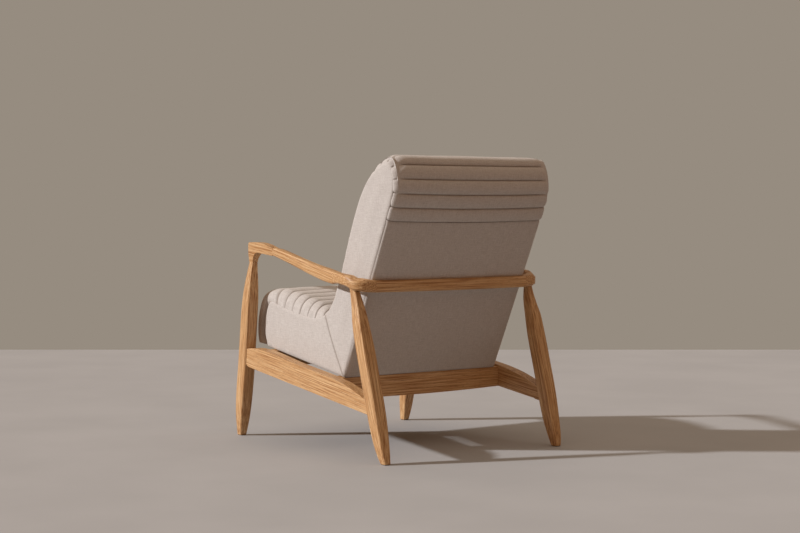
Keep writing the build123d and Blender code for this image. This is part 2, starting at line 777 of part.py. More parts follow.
def make_side_rail(front_leg, rear_leg):
    # The rail is drawn from one leg's middle to the other's and then fitted between them
    front, front_face, rear = front_joint[1], rail_front_y, rail_rear_y
    span = rear - front_face
    slope = (side_rail_rear_height - side_rail_front_height) / span

    def base(y):
        return side_rail_front_height + slope * (y - front_face)

    top = [Vector(front_face + place * span, base(front_face + place * span)
                  + height * side_rail_height) for place, height in side_rail_top_shares]
    nose = Vector(front_face, base(front_face) + side_rail_nose_rise)
    nose_end = Vector(front_face + side_rail_nose, base(front_face + side_rail_nose))
    nose_y = front_face + nose_middle_shares[0] * side_rail_nose
    nose_middle = Vector(nose_y, base(nose_y) + nose_middle_shares[1] * side_rail_nose_rise)
    outline = [
        Line((front, top[0].Y), top[0]),
        Spline(*top),
        Line(top[-1], (rear, base(rear))),
        Line((rear, base(rear)), nose_end),
        ThreePointArc(nose_end, nose_middle, nose),
        Line(nose, (front, nose.Y)),
        Line((front, nose.Y), (front, top[0].Y)),
    ]
    rail = side_extrusion(make_face(outline), rail_inner, side_rail_thickness)
    return rail - front_leg - rear_leg


def make_cross_rail(y, top, depth):
    # A board on edge with a slightly bowed lower edge, planed to the slope of the seat
    low = top - depth
    outline = [
        Line((-rail_inner, low), (-rail_inner, top + depth)),
        Line((-rail_inner, top + depth), (rail_inner, top + depth)),
        Line((rail_inner, top + depth), (rail_inner, low)),
        ThreePointArc((rail_inner, low), (0, low - cross_rail_bow), (-rail_inner, low)),
    ]
    face = Plane.XZ.offset(-y - cross_rail_thickness / 2) * make_face(outline)
    rail = extrude(face, amount=cross_rail_thickness, dir=(0, -1, 0))
    above_shell = slab(seat_frame, (-overrun, overrun), (0.0, overrun), overrun)
    return rail - above_shell


front_cross_rail_y = seat_point(seat_length - front_cross_rail_inset, 0).X
rear_cross_rail_y = heel.X - rear_cross_rail_setback - cross_rail_thickness / 2


def seat_bottom_height(y):
    # Height of the shell's underside above a place along the chair
    return heel.Y + (heel.X - y) * sin(radians(seat_angle)) / cos(radians(seat_angle))


def bolt_set(y, washer_seat):
    # Bolt, washer and tee nut that hold the shell down on a cross rail, and their holes
    nut_top = seat_bottom_height(y) + base_board_top / cos(radians(seat_angle)) - tee_nut_sink
    head_top = washer_seat - washer_thickness
    shank_length = nut_top - head_top
    barrel_centre = nut_top - tee_nut_flange - tee_nut_barrel_length / 2
    bolt = (Pos(0, y, head_top + shank_length / 2) * Cylinder(bolt_diameter / 2, shank_length)
            + Pos(0, y, head_top - bolt_head_height / 2)
            * Cylinder(bolt_head_diameter / 2, bolt_head_height))
    clearance = Cylinder(bolt_diameter / 2 + fit_gap, overrun)
    washer = Pos(0, y, washer_seat - washer_thickness / 2) * Cylinder(
        washer_diameter / 2, washer_thickness) - Pos(0, y, washer_seat) * clearance
    nut = (Pos(0, y, nut_top - tee_nut_flange / 2) * Cylinder(tee_nut_diameter / 2,
                                                             tee_nut_flange)
           + Pos(0, y, barrel_centre) * Cylinder(tee_nut_barrel_diameter / 2,
                                                 tee_nut_barrel_length))
    nut -= Pos(0, y, nut_top) * clearance
    rail_hole = (Pos(0, y, washer_seat) * clearance
                 + Pos(0, y, washer_seat - overrun / 2) * Cylinder(
                     counterbore_diameter / 2, overrun))
    recess_top = nut_top - tee_nut_flange + overrun / 2
    board_hole = (Pos(0, y, nut_top) * Cylinder(tee_nut_barrel_diameter / 2 + fit_gap, overrun)
                  + Pos(0, y, recess_top) * Cylinder(tee_nut_diameter / 2 + fit_gap, overrun))
    return bolt, washer, nut, rail_hole, board_hole


def spread_pair(shape):
    return [Pos(side * bolt_spacing / 2, 0, 0) * shape for side in (-1, 1)]


def cylinder_along(direction, centre, diameter, length):
    plane = Plane(origin=centre, z_dir=direction)
    return plane * Cylinder(diameter / 2, length)


def leg_rail_dowels(gap=0.0):
    # Two dowels at each end of the left side rail
    dowels = []
    fall = side_rail_rear_height - side_rail_front_height
    slope = Vector(rail_rear_y - rail_front_y, fall).normalized()
    for y, height, shares in ((rail_front_y, side_rail_front_height, side_rail_top_shares[0]),
                              (rail_rear_y, side_rail_rear_height, side_rail_top_shares[-1])):
        middle = height + side_rail_height * shares[1] / 2
        for side in (-1, 1):
            centre = (rail_inner + side_rail_thickness / 2, y,
                      middle + side * rail_dowel_spacing / 2)
            dowels.append(cylinder_along((0, slope.X, slope.Y), centre,
                                         rail_dowel_diameter + 2 * gap,
                                         rail_dowel_length + 2 * gap))
    return dowels


def cross_rail_dowels(gap=0.0):
    # Two dowels at the left end of each cross rail
    dowels = []
    for y, depth in ((front_cross_rail_y, front_cross_rail_depth),
                     (rear_cross_rail_y, rear_cross_rail_depth)):
        middle = seat_bottom_height(y) - depth / 2
        for side in (-1, 1):
            centre = (rail_inner + cross_dowel_depth - cross_dowel_length / 2, y,
                      middle + side * cross_dowel_spacing / 2)
            dowels.append(cylinder_along((1, 0, 0), centre, dowel_diameter + 2 * gap,
                                         cross_dowel_length + 2 * gap))
    return dowels


rear_leg_top_x, rear_leg_top_y = leg_place(rear_leg_shares, rear_leg_size, 1.0)[:2]


def arm_dowels(gap=0.0):
    # One upright dowel in the front leg's neck and one in the top of the rear leg
    size = (dowel_diameter + 2 * gap, dowel_length + 2 * gap)
    return [cylinder_along((0, 0, 1), (neck_x, neck_y, front_leg_height), *size),
            cylinder_along((0, 0, 1), (rear_leg_top_x, rear_leg_top_y, rear_leg_height
                                       - dowel_length / 6), *size)]


def arm_tongues(gap=0.0):
    # Loose tongues across the three joints of the left arm
    elbow_z = arm_start_top - arm_depth / 2
    places = [(arm_x, arm_start, elbow_z, 0), (arm_end_x, arm_end, arm_end_z, 0),
              (back_rail_length / 2, back_rail_y - back_rail_width / 8 + tongue_width / 4,
               back_rail_height - tongue_height / 4, quarter_turn)]
    size = (tongue_width + 2 * gap, tongue_length + 2 * gap, tongue_height + 2 * gap)
    return [Pos(x, y, z) * Rot(0, 0, turn) * Box(*size) for x, y, z, turn in places]


def make_all():
    nodes = {}
    # Carcase and springs
    panel, boards, screws = make_carcase()
    tee_nuts, bolts, washers = [], [], []
    cross_rails = {}
    for name, board, y, depth, bolt_y in (
            ("front_cross_rail", "front_base_board", front_cross_rail_y, front_cross_rail_depth,
             front_cross_rail_y),
            ("rear_cross_rail", "rear_base_board", rear_cross_rail_y, rear_cross_rail_depth,
             rear_cross_rail_y - bolt_forward_offset)):
        top = seat_bottom_height(y)
        bolt, washer, nut, rail_hole, board_hole = bolt_set(bolt_y, top - depth
                                                            + counterbore_depth)
        bolts += spread_pair(bolt)
        washers += spread_pair(washer)
        tee_nuts += spread_pair(nut)
        cross_rails[name] = make_cross_rail(y, top, depth) - spread_pair(rail_hole)
        boards[board] = boards[board] - spread_pair(board_hole)
    cross_holes = both_sides(cross_rail_dowels(fit_gap))
    for name, rail in cross_rails.items():
        nodes[name] = rail - cross_holes
    dust_cloth = make_dust_cloth()
    for y in (front_cross_rail_y, rear_cross_rail_y - bolt_forward_offset):
        hole = Pos(0, y, heel_height) * Cylinder(tee_nut_barrel_diameter / 2 + fit_gap, overrun)
        dust_cloth = dust_cloth - spread_pair(hole)
    nodes["shell_side_left"] = panel
    nodes["shell_side_right"] = mirrored(panel)
    nodes.update(boards)
    nodes["shell_screws"] = screws
    nodes["seat_springs"] = make_springs()
    nodes["spring_clips"] = make_clips()
    nodes["spring_felt"] = make_deck_cloth()
    nodes["back_straps"] = make_straps()
    nodes["backing_board"] = make_backing()
    # Foams and covers
    foams = make_foams()
    for name, foam in zip(("seat_foam", "back_foam", "front_foam", "top_foam"), foams):
        nodes[name] = foam
    nodes["seat_cover"] = make_seat_cover()
    nodes["back_cover"] = make_back_cover()
    side_cover = make_side_cover()
    nodes["side_cover_left"] = side_cover
    nodes["side_cover_right"] = mirrored(side_cover)
    nodes["rear_cover"] = make_rear_cover()
    nodes["dust_cloth"] = dust_cloth
    nodes["shell_bolts"] = bolts
    nodes["bolt_washers"] = washers
    nodes["tee_nuts"] = tee_nuts
    # Frame, worked out on the left and mirrored
    corner = make_corner()
    front_leg = make_leg(front_leg_shares, front_leg_size)
    rear_leg = make_leg(rear_leg_shares, rear_leg_size) - corner
    side_rail = make_side_rail(front_leg, rear_leg)
    rail_holes = leg_rail_dowels(fit_gap)
    post_holes = arm_dowels(fit_gap)
    tongue_holes = arm_tongues(fit_gap)
    frame = {
        "front_leg": front_leg - rail_holes - post_holes,
        "rear_leg": rear_leg - rail_holes - post_holes,
        "side_rail": side_rail - rail_holes - cross_holes,
        "arm_elbow": make_elbow() - post_holes - tongue_holes,
        "arm": make_arm() - tongue_holes,
        "arm_corner": corner - post_holes - tongue_holes,
    }
    for name, piece in frame.items():
        nodes[name + "_left"] = piece
        nodes[name + "_right"] = mirrored(piece)
    nodes["back_rail"] = make_back_rail() - both_sides(tongue_holes)
    nodes["leg_rail_dowels"] = both_sides(leg_rail_dowels())
    nodes["cross_rail_dowels"] = both_sides(cross_rail_dowels())
    nodes["arm_dowels"] = both_sides(arm_dowels())
    nodes["arm_tongues"] = both_sides(arm_tongues())
    nodes["foot_glides"] = make_glides()
    return nodes


def as_compound(shape):
    solids = []
    for item in (shape if isinstance(shape, list) else [shape]):
        solids += list(item.solids())
    return Compound(solids) if len(solids) > 1 else solids[0]


parts = {name: as_compound(shape) for name, shape in make_all().items()}
whole = Compound(list(parts.values())).bounding_box()
to_origin = Pos(0, -(whole.min.Y + whole.max.Y) / 2, 0)

os.makedirs("parts", exist_ok=True)
for name, shape in parts.items():
    export_step(to_origin * shape, f"parts/{name}.step")
print(f"{len(parts)} nodes, size {whole.size.X:.1f} x {whole.size.Y:.1f} x {whole.size.Z:.1f},"
      f" moved {-(whole.min.Y + whole.max.Y) / 2:.2f} along Y")
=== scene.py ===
# %% [markdown]
# # An oak lounge armchair with a channelled shell
# The chair is an oak frame that carries one upholstered shell. The frame, the hidden carcase
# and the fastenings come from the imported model. This script gives them their finish and
# shapes some of the frame's pieces more fully. It makes every padded piece anew, because
# fabric over foam has stitch lines, puckers and soft edges that a plain solid doesn't show.

# %% Load the frame
import json
import math

import bpy
import numpy as np
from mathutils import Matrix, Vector


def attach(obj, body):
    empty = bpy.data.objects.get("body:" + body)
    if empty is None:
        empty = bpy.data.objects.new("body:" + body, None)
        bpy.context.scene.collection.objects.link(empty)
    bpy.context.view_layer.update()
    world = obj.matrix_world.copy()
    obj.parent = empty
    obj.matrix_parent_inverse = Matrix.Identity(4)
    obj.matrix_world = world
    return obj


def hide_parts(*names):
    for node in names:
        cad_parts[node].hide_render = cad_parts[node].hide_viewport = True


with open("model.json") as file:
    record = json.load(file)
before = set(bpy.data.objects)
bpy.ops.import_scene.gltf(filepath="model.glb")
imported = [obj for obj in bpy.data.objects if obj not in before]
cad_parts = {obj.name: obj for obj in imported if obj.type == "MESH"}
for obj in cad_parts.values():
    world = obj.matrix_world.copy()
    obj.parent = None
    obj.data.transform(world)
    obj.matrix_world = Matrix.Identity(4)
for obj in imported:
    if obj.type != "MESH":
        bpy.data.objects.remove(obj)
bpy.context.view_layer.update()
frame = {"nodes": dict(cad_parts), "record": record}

nodes = frame["nodes"]
MM = 0.001

# %% [markdown]
# ## The camera
# The photograph was taken from behind the sitter's left side, from a little below the height
# of the back's top, and with a long lens. A long lens keeps the legs nearly parallel. The
# place and the direction were worked out from the chair's own left and right symmetry.

# %% Place the camera
def new_object(name, data):
    made = bpy.data.objects.new(name, data)
    bpy.context.scene.collection.objects.link(made)
    return made


camera_place = Vector((2973.9, 4077.25, 704.4)) * MM
camera_heading = math.radians(143.75)
camera_pitch = math.radians(2.11)
lens_length = 76.5
sensor_width = 36.0

camera = new_object("camera", bpy.data.cameras.new("camera"))
bpy.context.scene.camera = camera
camera.data.lens = lens_length
camera.data.sensor_width = sensor_width
view_direction = Vector((-math.sin(camera_heading) * math.cos(camera_pitch),
                         math.cos(camera_heading) * math.cos(camera_pitch),
                         -math.sin(camera_pitch)))
camera.location = camera_place
camera.rotation_euler = view_direction.to_track_quat("-Z", "Y").to_euler()
print("camera to chair in metres:", round(camera_place.length, 2))

# %% [markdown]
# ## Colours and nodes
# Colours are written as sRGB hex values, as a colour picker gives them. Blender's shaders
# work on linear light, so one function turns them. A second small function adds a shader
# node with its settings and links, and three more add the kinds that are used most. This
# keeps each material short enough to read.

# %% Helpers for materials
def linear(hex_colour):
    channels = [int(hex_colour[i:i + 2], 16) / 255 for i in (1, 3, 5)]
    return [c / 12.92 if c <= 0.04045 else ((c + 0.055) / 1.055) ** 2.4 for c in channels] + [1.0]


def add(tree, kind, inputs=None, **settings):
    # An input takes a number, a hex colour, a node or a socket
    node = tree.nodes.new("ShaderNode" + kind)
    for name, value in settings.items():
        setattr(node, name, value)
    for key, value in (inputs or {}).items():
        named = [socket for socket in node.inputs if socket.enabled and socket.name == key]
        socket = named[0] if named else node.inputs[key]
        if isinstance(value, bpy.types.Node):
            value = next(output for output in value.outputs if output.enabled)
        if isinstance(value, bpy.types.NodeSocket):
            tree.links.new(value, socket)
        else:
            socket.default_value = linear(value) if isinstance(value, str) else value
    return node


def maths(tree, operation, *values):
    return add(tree, "Math", dict(enumerate(values)), operation=operation)


def mix(tree, share, first, second):
    return add(tree, "Mix", {"Factor": share, "A": first, "B": second}, data_type="RGBA")


def ramp(tree, value, *stops):
    # Turns a value from 0 to 1 into a colour, by the hex colours at some places
    node = add(tree, "ValToRGB", {"Fac": value})
    elements = node.color_ramp.elements
    while len(elements) < len(stops):
        elements.new(1.0)
    for element, (place, colour) in zip(elements, stops):
        element.position, element.color = place, linear(colour)
    return node


def new_material(name, **surface):
    material = bpy.data.materials.new(name)
    material.use_nodes = True
    tree = material.node_tree
    principled = tree.nodes["Principled BSDF"]
    for socket, value in surface.items():
        principled.inputs[socket.replace("_", " ")].default_value = value
    return material, tree, principled


print("pale oak in linear light:", [round(c, 3) for c in linear("#deb47d")[:3]])

# %% [markdown]
# ## Patterns
# Most finishes here are noise that is stretched by real sizes: a wood pore is long and thin,
# a speck of yarn is short. One function turns a position into such noise, so that each size
# is written in millimetres. Another joins a colour and a relief to the surface.

# %% Helpers for patterns
def grain_noise(tree, place, size, detail=2.0):
    scale = tuple(1 / (side * MM) for side in size)
    scaled = add(tree, "VectorMath", {0: place, 1: scale}, operation="MULTIPLY")
    return add(tree, "TexNoise", {"Vector": scaled, "Scale": 1.0, "Detail": detail})


def dress(tree, surface, colour, height, depth, strength=1.0):
    bump = add(tree, "Bump", {"Height": height, "Strength": strength,
                                        "Distance": depth * MM})
    shown = next(output for output in colour.outputs if output.enabled)
    tree.links.new(shown, surface.inputs["Base Color"])
    tree.links.new(bump.outputs[0], surface.inputs["Normal"])


print("a 15 mm pore repeats", round(1 / (15 * MM)), "times in a metre")

# %% [markdown]
# ## Oak
# The frame is oiled European oak. Each piece is sawn so that the grain runs along it, and a
# board shows the year rings as long lines, or as pointed arches where the saw runs along
# the rings. A real ring is 2 to 4 mm wide. Here a ring is 7 mm, because a finer one
# disappears at the photograph's distance. The rings are circles about the tree's middle,
# which lies outside the piece, and noise that is long in the direction of the grain bends
# them. The pores are short dark streaks along the grain. Oil leaves a satin surface, so the
# roughness is about a half, and the IOR is that of a drying oil.

# %% The oak material
ring_width = 7.0
ring_wander = 34.0
fibre_size = (2.6, 2.6, 150.0)
pore_size = (0.9, 0.9, 15.0)
bend_size = (70.0, 70.0, 300.0)
patch_size = (30.0, 30.0, 90.0)


def grain_place(tree, along, pith):
    # Position in the tree: two directions across the grain and one along it, in metres
    along = Vector(along).normalized()
    side = along.cross(Vector((0.0, 0.0, 1.0)) if abs(along.z) < 0.8 else Vector((1.0, 0.0, 0.0)))
    side.normalize()
    place = add(tree, "TexCoord").outputs["Object"]
    parts = {}
    for i, (axis, shift) in enumerate(zip((side, along.cross(side), along), (*pith, 0.0))):
        part = add(tree, "VectorMath", {0: place, 1: axis}, operation="DOT_PRODUCT")
        parts[i] = maths(tree, "ADD", part, shift * MM)
    return add(tree, "CombineXYZ", parts)


def oak(name, along, pith):
    material, tree, surface = new_material(name, Roughness=0.46, IOR=1.48)
    place = grain_place(tree, along, pith)
    # The year rings: distance from the tree's middle, bent by slow noise
    level = add(tree, "VectorMath", {0: place, 1: (1, 1, 0)}, operation="MULTIPLY")
    radius = add(tree, "VectorMath", {0: level}, operation="LENGTH")
    bend = grain_noise(tree, place, bend_size, 3.0)
    bent = maths(tree, "MULTIPLY_ADD", bend, ring_wander * MM, radius)
    ring = maths(tree, "FRACT", maths(tree, "DIVIDE", bent, ring_width * MM))
    early = ramp(tree, ring, (0.0, "#ffffff"), (0.16, "#909090"), (0.45, "#101010"),
                 (0.85, "#000000"), (1.0, "#ffffff"))
    # Pale fibres, then the darker early wood in patches, then the pores
    fibre = grain_noise(tree, place, fibre_size, 5.0)
    wood = ramp(tree, fibre, (0.32, "#935f2f"), (0.46, "#c19462"), (0.7, "#e1bf90"))
    patches = add(tree, "MapRange", {
        "Value": grain_noise(tree, place, patch_size), "From Min": 0.35, "From Max": 0.65,
        "To Max": 0.65})
    wood = mix(tree, maths(tree, "MULTIPLY", early, patches), wood, "#9c6735")
    streaks = add(tree, "MapRange", {
        "Value": grain_noise(tree, place, pore_size, 1.0), "From Min": 0.52, "From Max": 0.66})
    pores = maths(tree, "MULTIPLY", streaks, maths(tree, "ADD", early, 0.25))
    wood = mix(tree, maths(tree, "MULTIPLY", pores, 0.7), wood, "#7d4f26")
    height = maths(tree, "MULTIPLY_ADD", fibre, 0.4, pores)
    dress(tree, surface, wood, height, -0.35, 0.4)
    return material


oak_grain = {
    "front_leg": ((0.0, 62.5, 530.0), (70.0, 95.0)),
    "rear_leg": ((0.0, -134.7, 468.0), (60.0, 110.0)),
    "side_rail": ((0.0, 637.0, -87.5), (70.0, -190.0)),
    "arm_elbow": ((0.0, 135.0, -16.0), (60.0, -480.0)),
    "arm": ((14.5, 337.0, -66.0), (90.0, -560.0)),
    "arm_corner": ((-45.0, 110.0, -10.0), (80.0, -530.0)),
    "back_rail": ((1.0, 0.0, 0.0), (-330.0, -430.0)),
    "front_cross_rail": ((1.0, 0.0, 0.0), (170.0, -200.0)),
    "rear_cross_rail": ((1.0, 0.0, 0.0), (-190.0, -120.0)),
}
finishes = {}
for piece, (along, pith) in oak_grain.items():
    material = oak("oiled_oak_" + piece, along, pith)
    for name in nodes:
        if name in (piece, piece + "_left", piece + "_right"):
            finishes[name] = material
print("oak nodes:", len(finishes))

# %% [markdown]
# ## Woven fabric
# The cover is a woven wool and linen mix. Its yarns differ a little in colour, which gives a
# soft speckle, and some yarns are thicker, which gives short lines both ways. The yarns are
# really 0.8 mm apart. They are drawn 1.6 mm apart, so that they show in a near view. The
# fibres stand up and scatter light at a low angle, so the surface is rough, with some sheen
# at its edges. Stitch lines pull the fabric in and hold shade, so a value that each padded
# mesh carries paints that shade into them, and into the seams, as a dark brown.

# %% The fabric material
yarn_spacing = 1.6
speck_size = 3.5
slub_size = (26.0, 2.2, 2.2)
# How strongly the painted seam shade darkens the fabric
seam_shade = 0.75


def woven_fabric():
    material, tree, surface = new_material("woven_wool_linen", Roughness=0.94, IOR=1.5,
                                           Specular_IOR_Level=0.25, Sheen_Weight=0.25,
                                           Sheen_Roughness=0.6, Sheen_Tint=linear("#e8dccd"))
    cloth = add(tree, "UVMap", uv_map="cloth")
    place = add(tree, "TexCoord").outputs["Object"]
    turn = math.pi / (yarn_spacing * MM)
    turned = add(tree, "VectorMath", {0: cloth, 1: (turn,) * 3}, operation="MULTIPLY")
    waves = add(tree, "SeparateXYZ", {
        0: add(tree, "VectorMath", {0: turned}, operation="SINE")})
    weave = maths(tree, "MULTIPLY", waves.outputs[0], waves.outputs[1])
    warp = grain_noise(tree, cloth, slub_size, 1.0)
    weft = grain_noise(tree, cloth, (slub_size[1], slub_size[0], slub_size[2]), 1.0)
    speck = grain_noise(tree, place, (speck_size,) * 3, 4.0)
    tone = 0.0
    for part, share in ((weave, 0.05), (warp, 0.3), (weft, 0.3), (speck, 0.4)):
        tone = maths(tree, "MULTIPLY_ADD", part, share, tone)
    colour = ramp(tree, tone, (0.25, "#aba6a0"), (0.5, "#c3beb9"), (0.75, "#d6d3cf"))
    # Painted shade: each point's seam value darkens the fabric towards dark brown at stitch lines
    # and seams
    painted_seam_shade = add(tree, "Attribute", attribute_name="painted_seam_shade").outputs["Fac"]
    colour = mix(tree, maths(tree, "MULTIPLY", painted_seam_shade, seam_shade), colour, "#6f6053")
    height = maths(tree, "MULTIPLY_ADD", tone, 2.0, weave)
    dress(tree, surface, colour, height, 0.5, 0.5)
    return material


fabric = woven_fabric()
print("yarns in 10 cm of the fabric:", round(100 / yarn_spacing))

# %% [markdown]
# ## Hidden finishes
# The pieces inside the shell and under it are plain stock: birch plywood, pine, hardboard,
# foam, pressed felt, webbing, drawn steel wire, zinc-plated steel and moulded nylon. Each is
# one short recipe of two colours and a noise of the right size, with a typical roughness.

# %% Finishes of the hidden pieces
def stock(name, low, high, size, Roughness, Metallic=0.0, IOR=1.5):
    material, tree, surface = new_material(name, Roughness=Roughness, Metallic=Metallic, IOR=IOR)
    place = add(tree, "TexCoord").outputs["Object"]
    grain = grain_noise(tree, place, size, 3.0)
    dress(tree, surface, ramp(tree, grain, (0.35, low), (0.65, high)), grain, 0.1)
    return material


recipes = {
    "beech_dowel": ("turned_beech", "#b98a5c", "#cfa477", (30.0, 1.5, 1.5), 0.55),
    "plywood": ("birch_plywood", "#b78d5c", "#d3ae7d", (1.6, 40.0, 9.0), 0.65),
    "pine_board": ("planed_pine", "#c89b62", "#dcb580", (60.0, 4.0, 4.0), 0.6),
    "hardboard": ("hardboard", "#5c402a", "#6f4f35", (2.0, 2.0, 2.0), 0.75),
    "foam": ("open_cell_foam", "#d8cc9c", "#ebe2bb", (1.5, 1.5, 1.5), 0.95),
    "felt": ("pressed_felt", "#4a4744", "#5f5b57", (1.2, 1.2, 1.2), 1.0),
    "black_cloth": ("nonwoven_cloth", "#1d1c1b", "#2a2927", (1.0, 1.0, 1.0), 0.9),
    "webbing": ("woven_webbing", "#6f5d43", "#8a7557", (3.0, 1.0, 3.0), 0.9),
    "spring_steel": ("drawn_spring_steel", "#6a6a6e", "#85868a", (8.0, 1.0, 1.0), 0.38, 1.0),
    "zinc_steel": ("zinc_plated_steel", "#a5a8ab", "#bfc2c4", (3.0, 3.0, 3.0), 0.32, 1.0),
    "nylon_clip": ("moulded_nylon", "#1b1b1c", "#262627", (6.0, 6.0, 6.0), 0.5),
}
stocks = {slot: stock(*recipe) for slot, recipe in recipes.items()}
for row in frame["record"]["subparts"]:
    if row["material_slot"] in stocks:
        finishes[row["node"]] = stocks[row["material_slot"]]
for name, material in finishes.items():
    nodes[name].data.materials.clear()
    nodes[name].data.materials.append(material)
print("finished nodes:", len(finishes))

# %% [markdown]
# ## Softer wood edges
# A joiner takes the sharp edge off every rail with a small roundover cutter. The legs, arms
# and corners are rounded already. The two cross rails come with sharp edges, so a bevel
# modifier rounds them. It is a modifier, so the model's own mesh stays.

# %% Round the cross rails' edges
cross_rails = ("front_cross_rail", "rear_cross_rail")
roundover, roundover_steps = 2.0, 4
weld_distance = 0.001


def modify(piece, name, kind, **settings):
    modifier = piece.modifiers.new(name, kind)
    for key, value in settings.items():
        setattr(modifier, key, value)


def round_over(piece, radius, **limits):
    modify(piece, "roundover", "BEVEL", width=radius * MM, segments=roundover_steps,
           harden_normals=True, **limits)


for name in cross_rails:
    modify(nodes[name], "weld", "WELD", merge_threshold=weld_distance * MM)
    round_over(nodes[name], roundover, limit_method="ANGLE", angle_limit=math.radians(50))
print("rounded:", ", ".join(cross_rails))

# %% [markdown]
# ## A fuller arm line and thicker side rails
# In the photograph the arms, the corners and the back rail are one line. It thickens from the
# elbow to the corner, and turns there on a long arc. The side rails are nearly as thick as
# the legs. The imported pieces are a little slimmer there, so each is copied, and the points
# of the copy are moved: the line's upper and lower sides by tables of heights, a side rail's
# outer side by its thickness, and a rear leg's upper end by as much as the corner that rests
# on it. All copies use the same tables, so they still meet at their joints.

# %% Tables of the arm line
line_depths = (-190, -148, -106, -64, -22, 20, 62, 105, 147, 250, 280)
middle_heights = (561, 554, 544, 534, 523, 514, 505, 498, 493, 473, 473)
top_depths = (-325, -290, -200, -160, -63, 0, 60, 105, 140, 165, 185, 200, 225, 266)
top_moves = (3.0, 1.0, 0.0, 4.5, 9.0, 11.5, 12.5, 12.5, 10.5, 7.0, 5.0, 4.2, 5.5, 5.0)
under_depths = (90, 145, 165, 180, 215, 240, 260, 280)
under_moves = (0.0, 1.5, 7.0, 8.5, 8.5, 7.0, 3.0, 0.0)
section_height = 28.0
corner_extra, corner_start, corner_length, corner_width = 6.0, 147.0, 60.0, 25.0
turn_side, turn_depth, turn_radius, turn_pull = 269.0, 215.3, 65.0, 0.12
round_start, round_fade, round_width, round_share = 150.0, 50.0, 14.0, 0.4
leg_stretch_from, leg_stretch_to = 380.0, 455.0
rail_inner, rail_thickness, rail_stock = 290.0, 33.0, 18.0
rail_ends, rail_middle_heights, rail_under_moves = (-326, 314), (240, 151), (4.0, 7.0)
rail_under_band = 25.0
print("arm line fuller by at most", max(top_moves), "mm above and", max(under_moves), "below")

# %% [markdown]
# ## How the points move
# A point near the line's upper side takes the upper table's move and one near its underside
# the lower table's, with a smooth change between them. Seen from above, a corner's points are
# pulled towards the middle of the turn, most at its middle angle.

# %% Moves of the points
def share_past(values, start, length):
    return np.clip((values - start) / length, 0, 1)


def longer_turn(points, share):
    # Pulls the corner in, so that its outer side turns on a long arc, and gives each point's
    # distance from that side
    out = np.maximum(np.abs(points[:, 0]) / MM - turn_side, 0)
    back = np.maximum(points[:, 1] / MM - turn_depth, 0)
    pull = share * turn_pull * np.sin(2 * np.arctan2(back, out)) ** 2
    points[:, 0] -= np.sign(points[:, 0]) * MM * out * pull
    points[:, 1] -= MM * back * pull
    out, back = out * (1 - pull), back * (1 - pull)
    return turn_radius - np.where(out * back > 0, np.hypot(out, back), np.maximum(out, back))


def move_line(points):
    sideways, depth, height = np.abs(points[:, 0]) / MM, points[:, 1] / MM, points[:, 2] / MM
    middle = np.interp(depth, line_depths, middle_heights)
    corner = corner_extra * (share_past(sideways, turn_side, corner_width)
                             * share_past(depth, corner_start, corner_length))
    top = np.interp(depth, top_depths, top_moves) + corner
    under = np.interp(depth, under_depths, under_moves)
    upper = np.clip(0.5 + (height - middle) / section_height, 0, 1)
    upper = upper * upper * (3 - 2 * upper)
    points[:, 2] += MM * (upper * top + (1 - upper) * under)
    # The outer side is rounded over, as an ellipse that fades in behind the arm
    edge = np.clip(1 - longer_turn(points, 1.0) / round_width, 0, 1)
    fade = share_past(depth, round_start, round_fade)
    shrink = round_share * (1 - np.sqrt(1 - edge * edge)) * fade
    points[:, 2] += shrink * (MM * (middle + 0.5 * (top + under)) - points[:, 2])


def move_leg(points):
    share = share_past(points[:, 2] / MM, leg_stretch_from, leg_stretch_to - leg_stretch_from)
    points[:, 2] += MM * share * np.interp(points[:, 1] / MM, under_depths, under_moves)
    longer_turn(points, share)


def move_rail(points):
    depth, outward = points[:, 1] / MM, np.abs(points[:, 0]) / MM - rail_inner
    points[:, 0] = np.sign(points[:, 0]) * MM * (rail_inner + outward * rail_thickness / rail_stock)
    lower = np.clip((np.interp(depth, rail_ends, rail_middle_heights) - points[:, 2] / MM)
                    / rail_under_band, 0, 1)
    points[:, 2] += MM * lower * np.interp(depth, rail_ends, rail_under_moves)


print("side rail thicker by", rail_thickness - rail_stock, "mm")

# %% [markdown]
# ## The fuller copies
# The elbows and side rails come with sharp edges, and a hand rests on the elbow, so their
# copies are rounded over too. The edges on a joint stay sharp, because the next piece lies
# against them. The table gives the cutter's radius, and the depth and the height past which
# an edge lies on a joint. Both are infinite where no edge is kept sharp.

# %% Make the fuller copies
rounded_copies = {"arm_elbow": (7.0, -190.5, 530.5), "side_rail": (5.0, math.inf, -math.inf)}
sharp_angle = math.radians(40)


def round_free_edges(piece, points, radius, joint_depth, joint_height):
    sharp = np.zeros(len(piece.data.edges), bool)
    piece.data.attributes["sharp_edge"].data.foreach_get("value", sharp)
    ends = np.zeros(len(piece.data.edges) * 2, int)
    piece.data.edges.foreach_get("vertices", ends)
    place = points[ends.reshape(-1, 2)] / MM
    joined = (place[..., 1] > joint_depth).all(1) | (place[..., 2] < joint_height).all(1)
    weight = piece.data.attributes.new("bevel_weight_edge", "FLOAT", "EDGE")
    weight.data.foreach_set("value", (sharp & ~joined).astype(float))
    round_over(piece, radius, limit_method="WEIGHT")


def fuller_copy(kind, name, move):
    source = nodes[name].data
    points = np.zeros(len(source.vertices) * 3)
    source.vertices.foreach_get("co", points)
    points, index = np.unique(np.round(points.reshape(-1, 3), 6), axis=0, return_inverse=True)
    index = index.ravel()
    faces = [tuple(int(index[v]) for v in face.vertices) for face in source.polygons]
    move(points)
    mesh = bpy.data.meshes.new(name + "_shaped")
    mesh.from_pydata(points.tolist(), [], faces)
    mesh.validate()
    mesh.polygons.foreach_set("use_smooth", [True] * len(mesh.polygons))
    mesh.set_sharp_from_angle(angle=sharp_angle)
    mesh.materials.append(finishes[name])
    piece = new_object(name + "_shaped", mesh)
    if kind in rounded_copies:
        round_free_edges(piece, points, *rounded_copies[kind])
    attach(piece, "root")
    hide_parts(name)


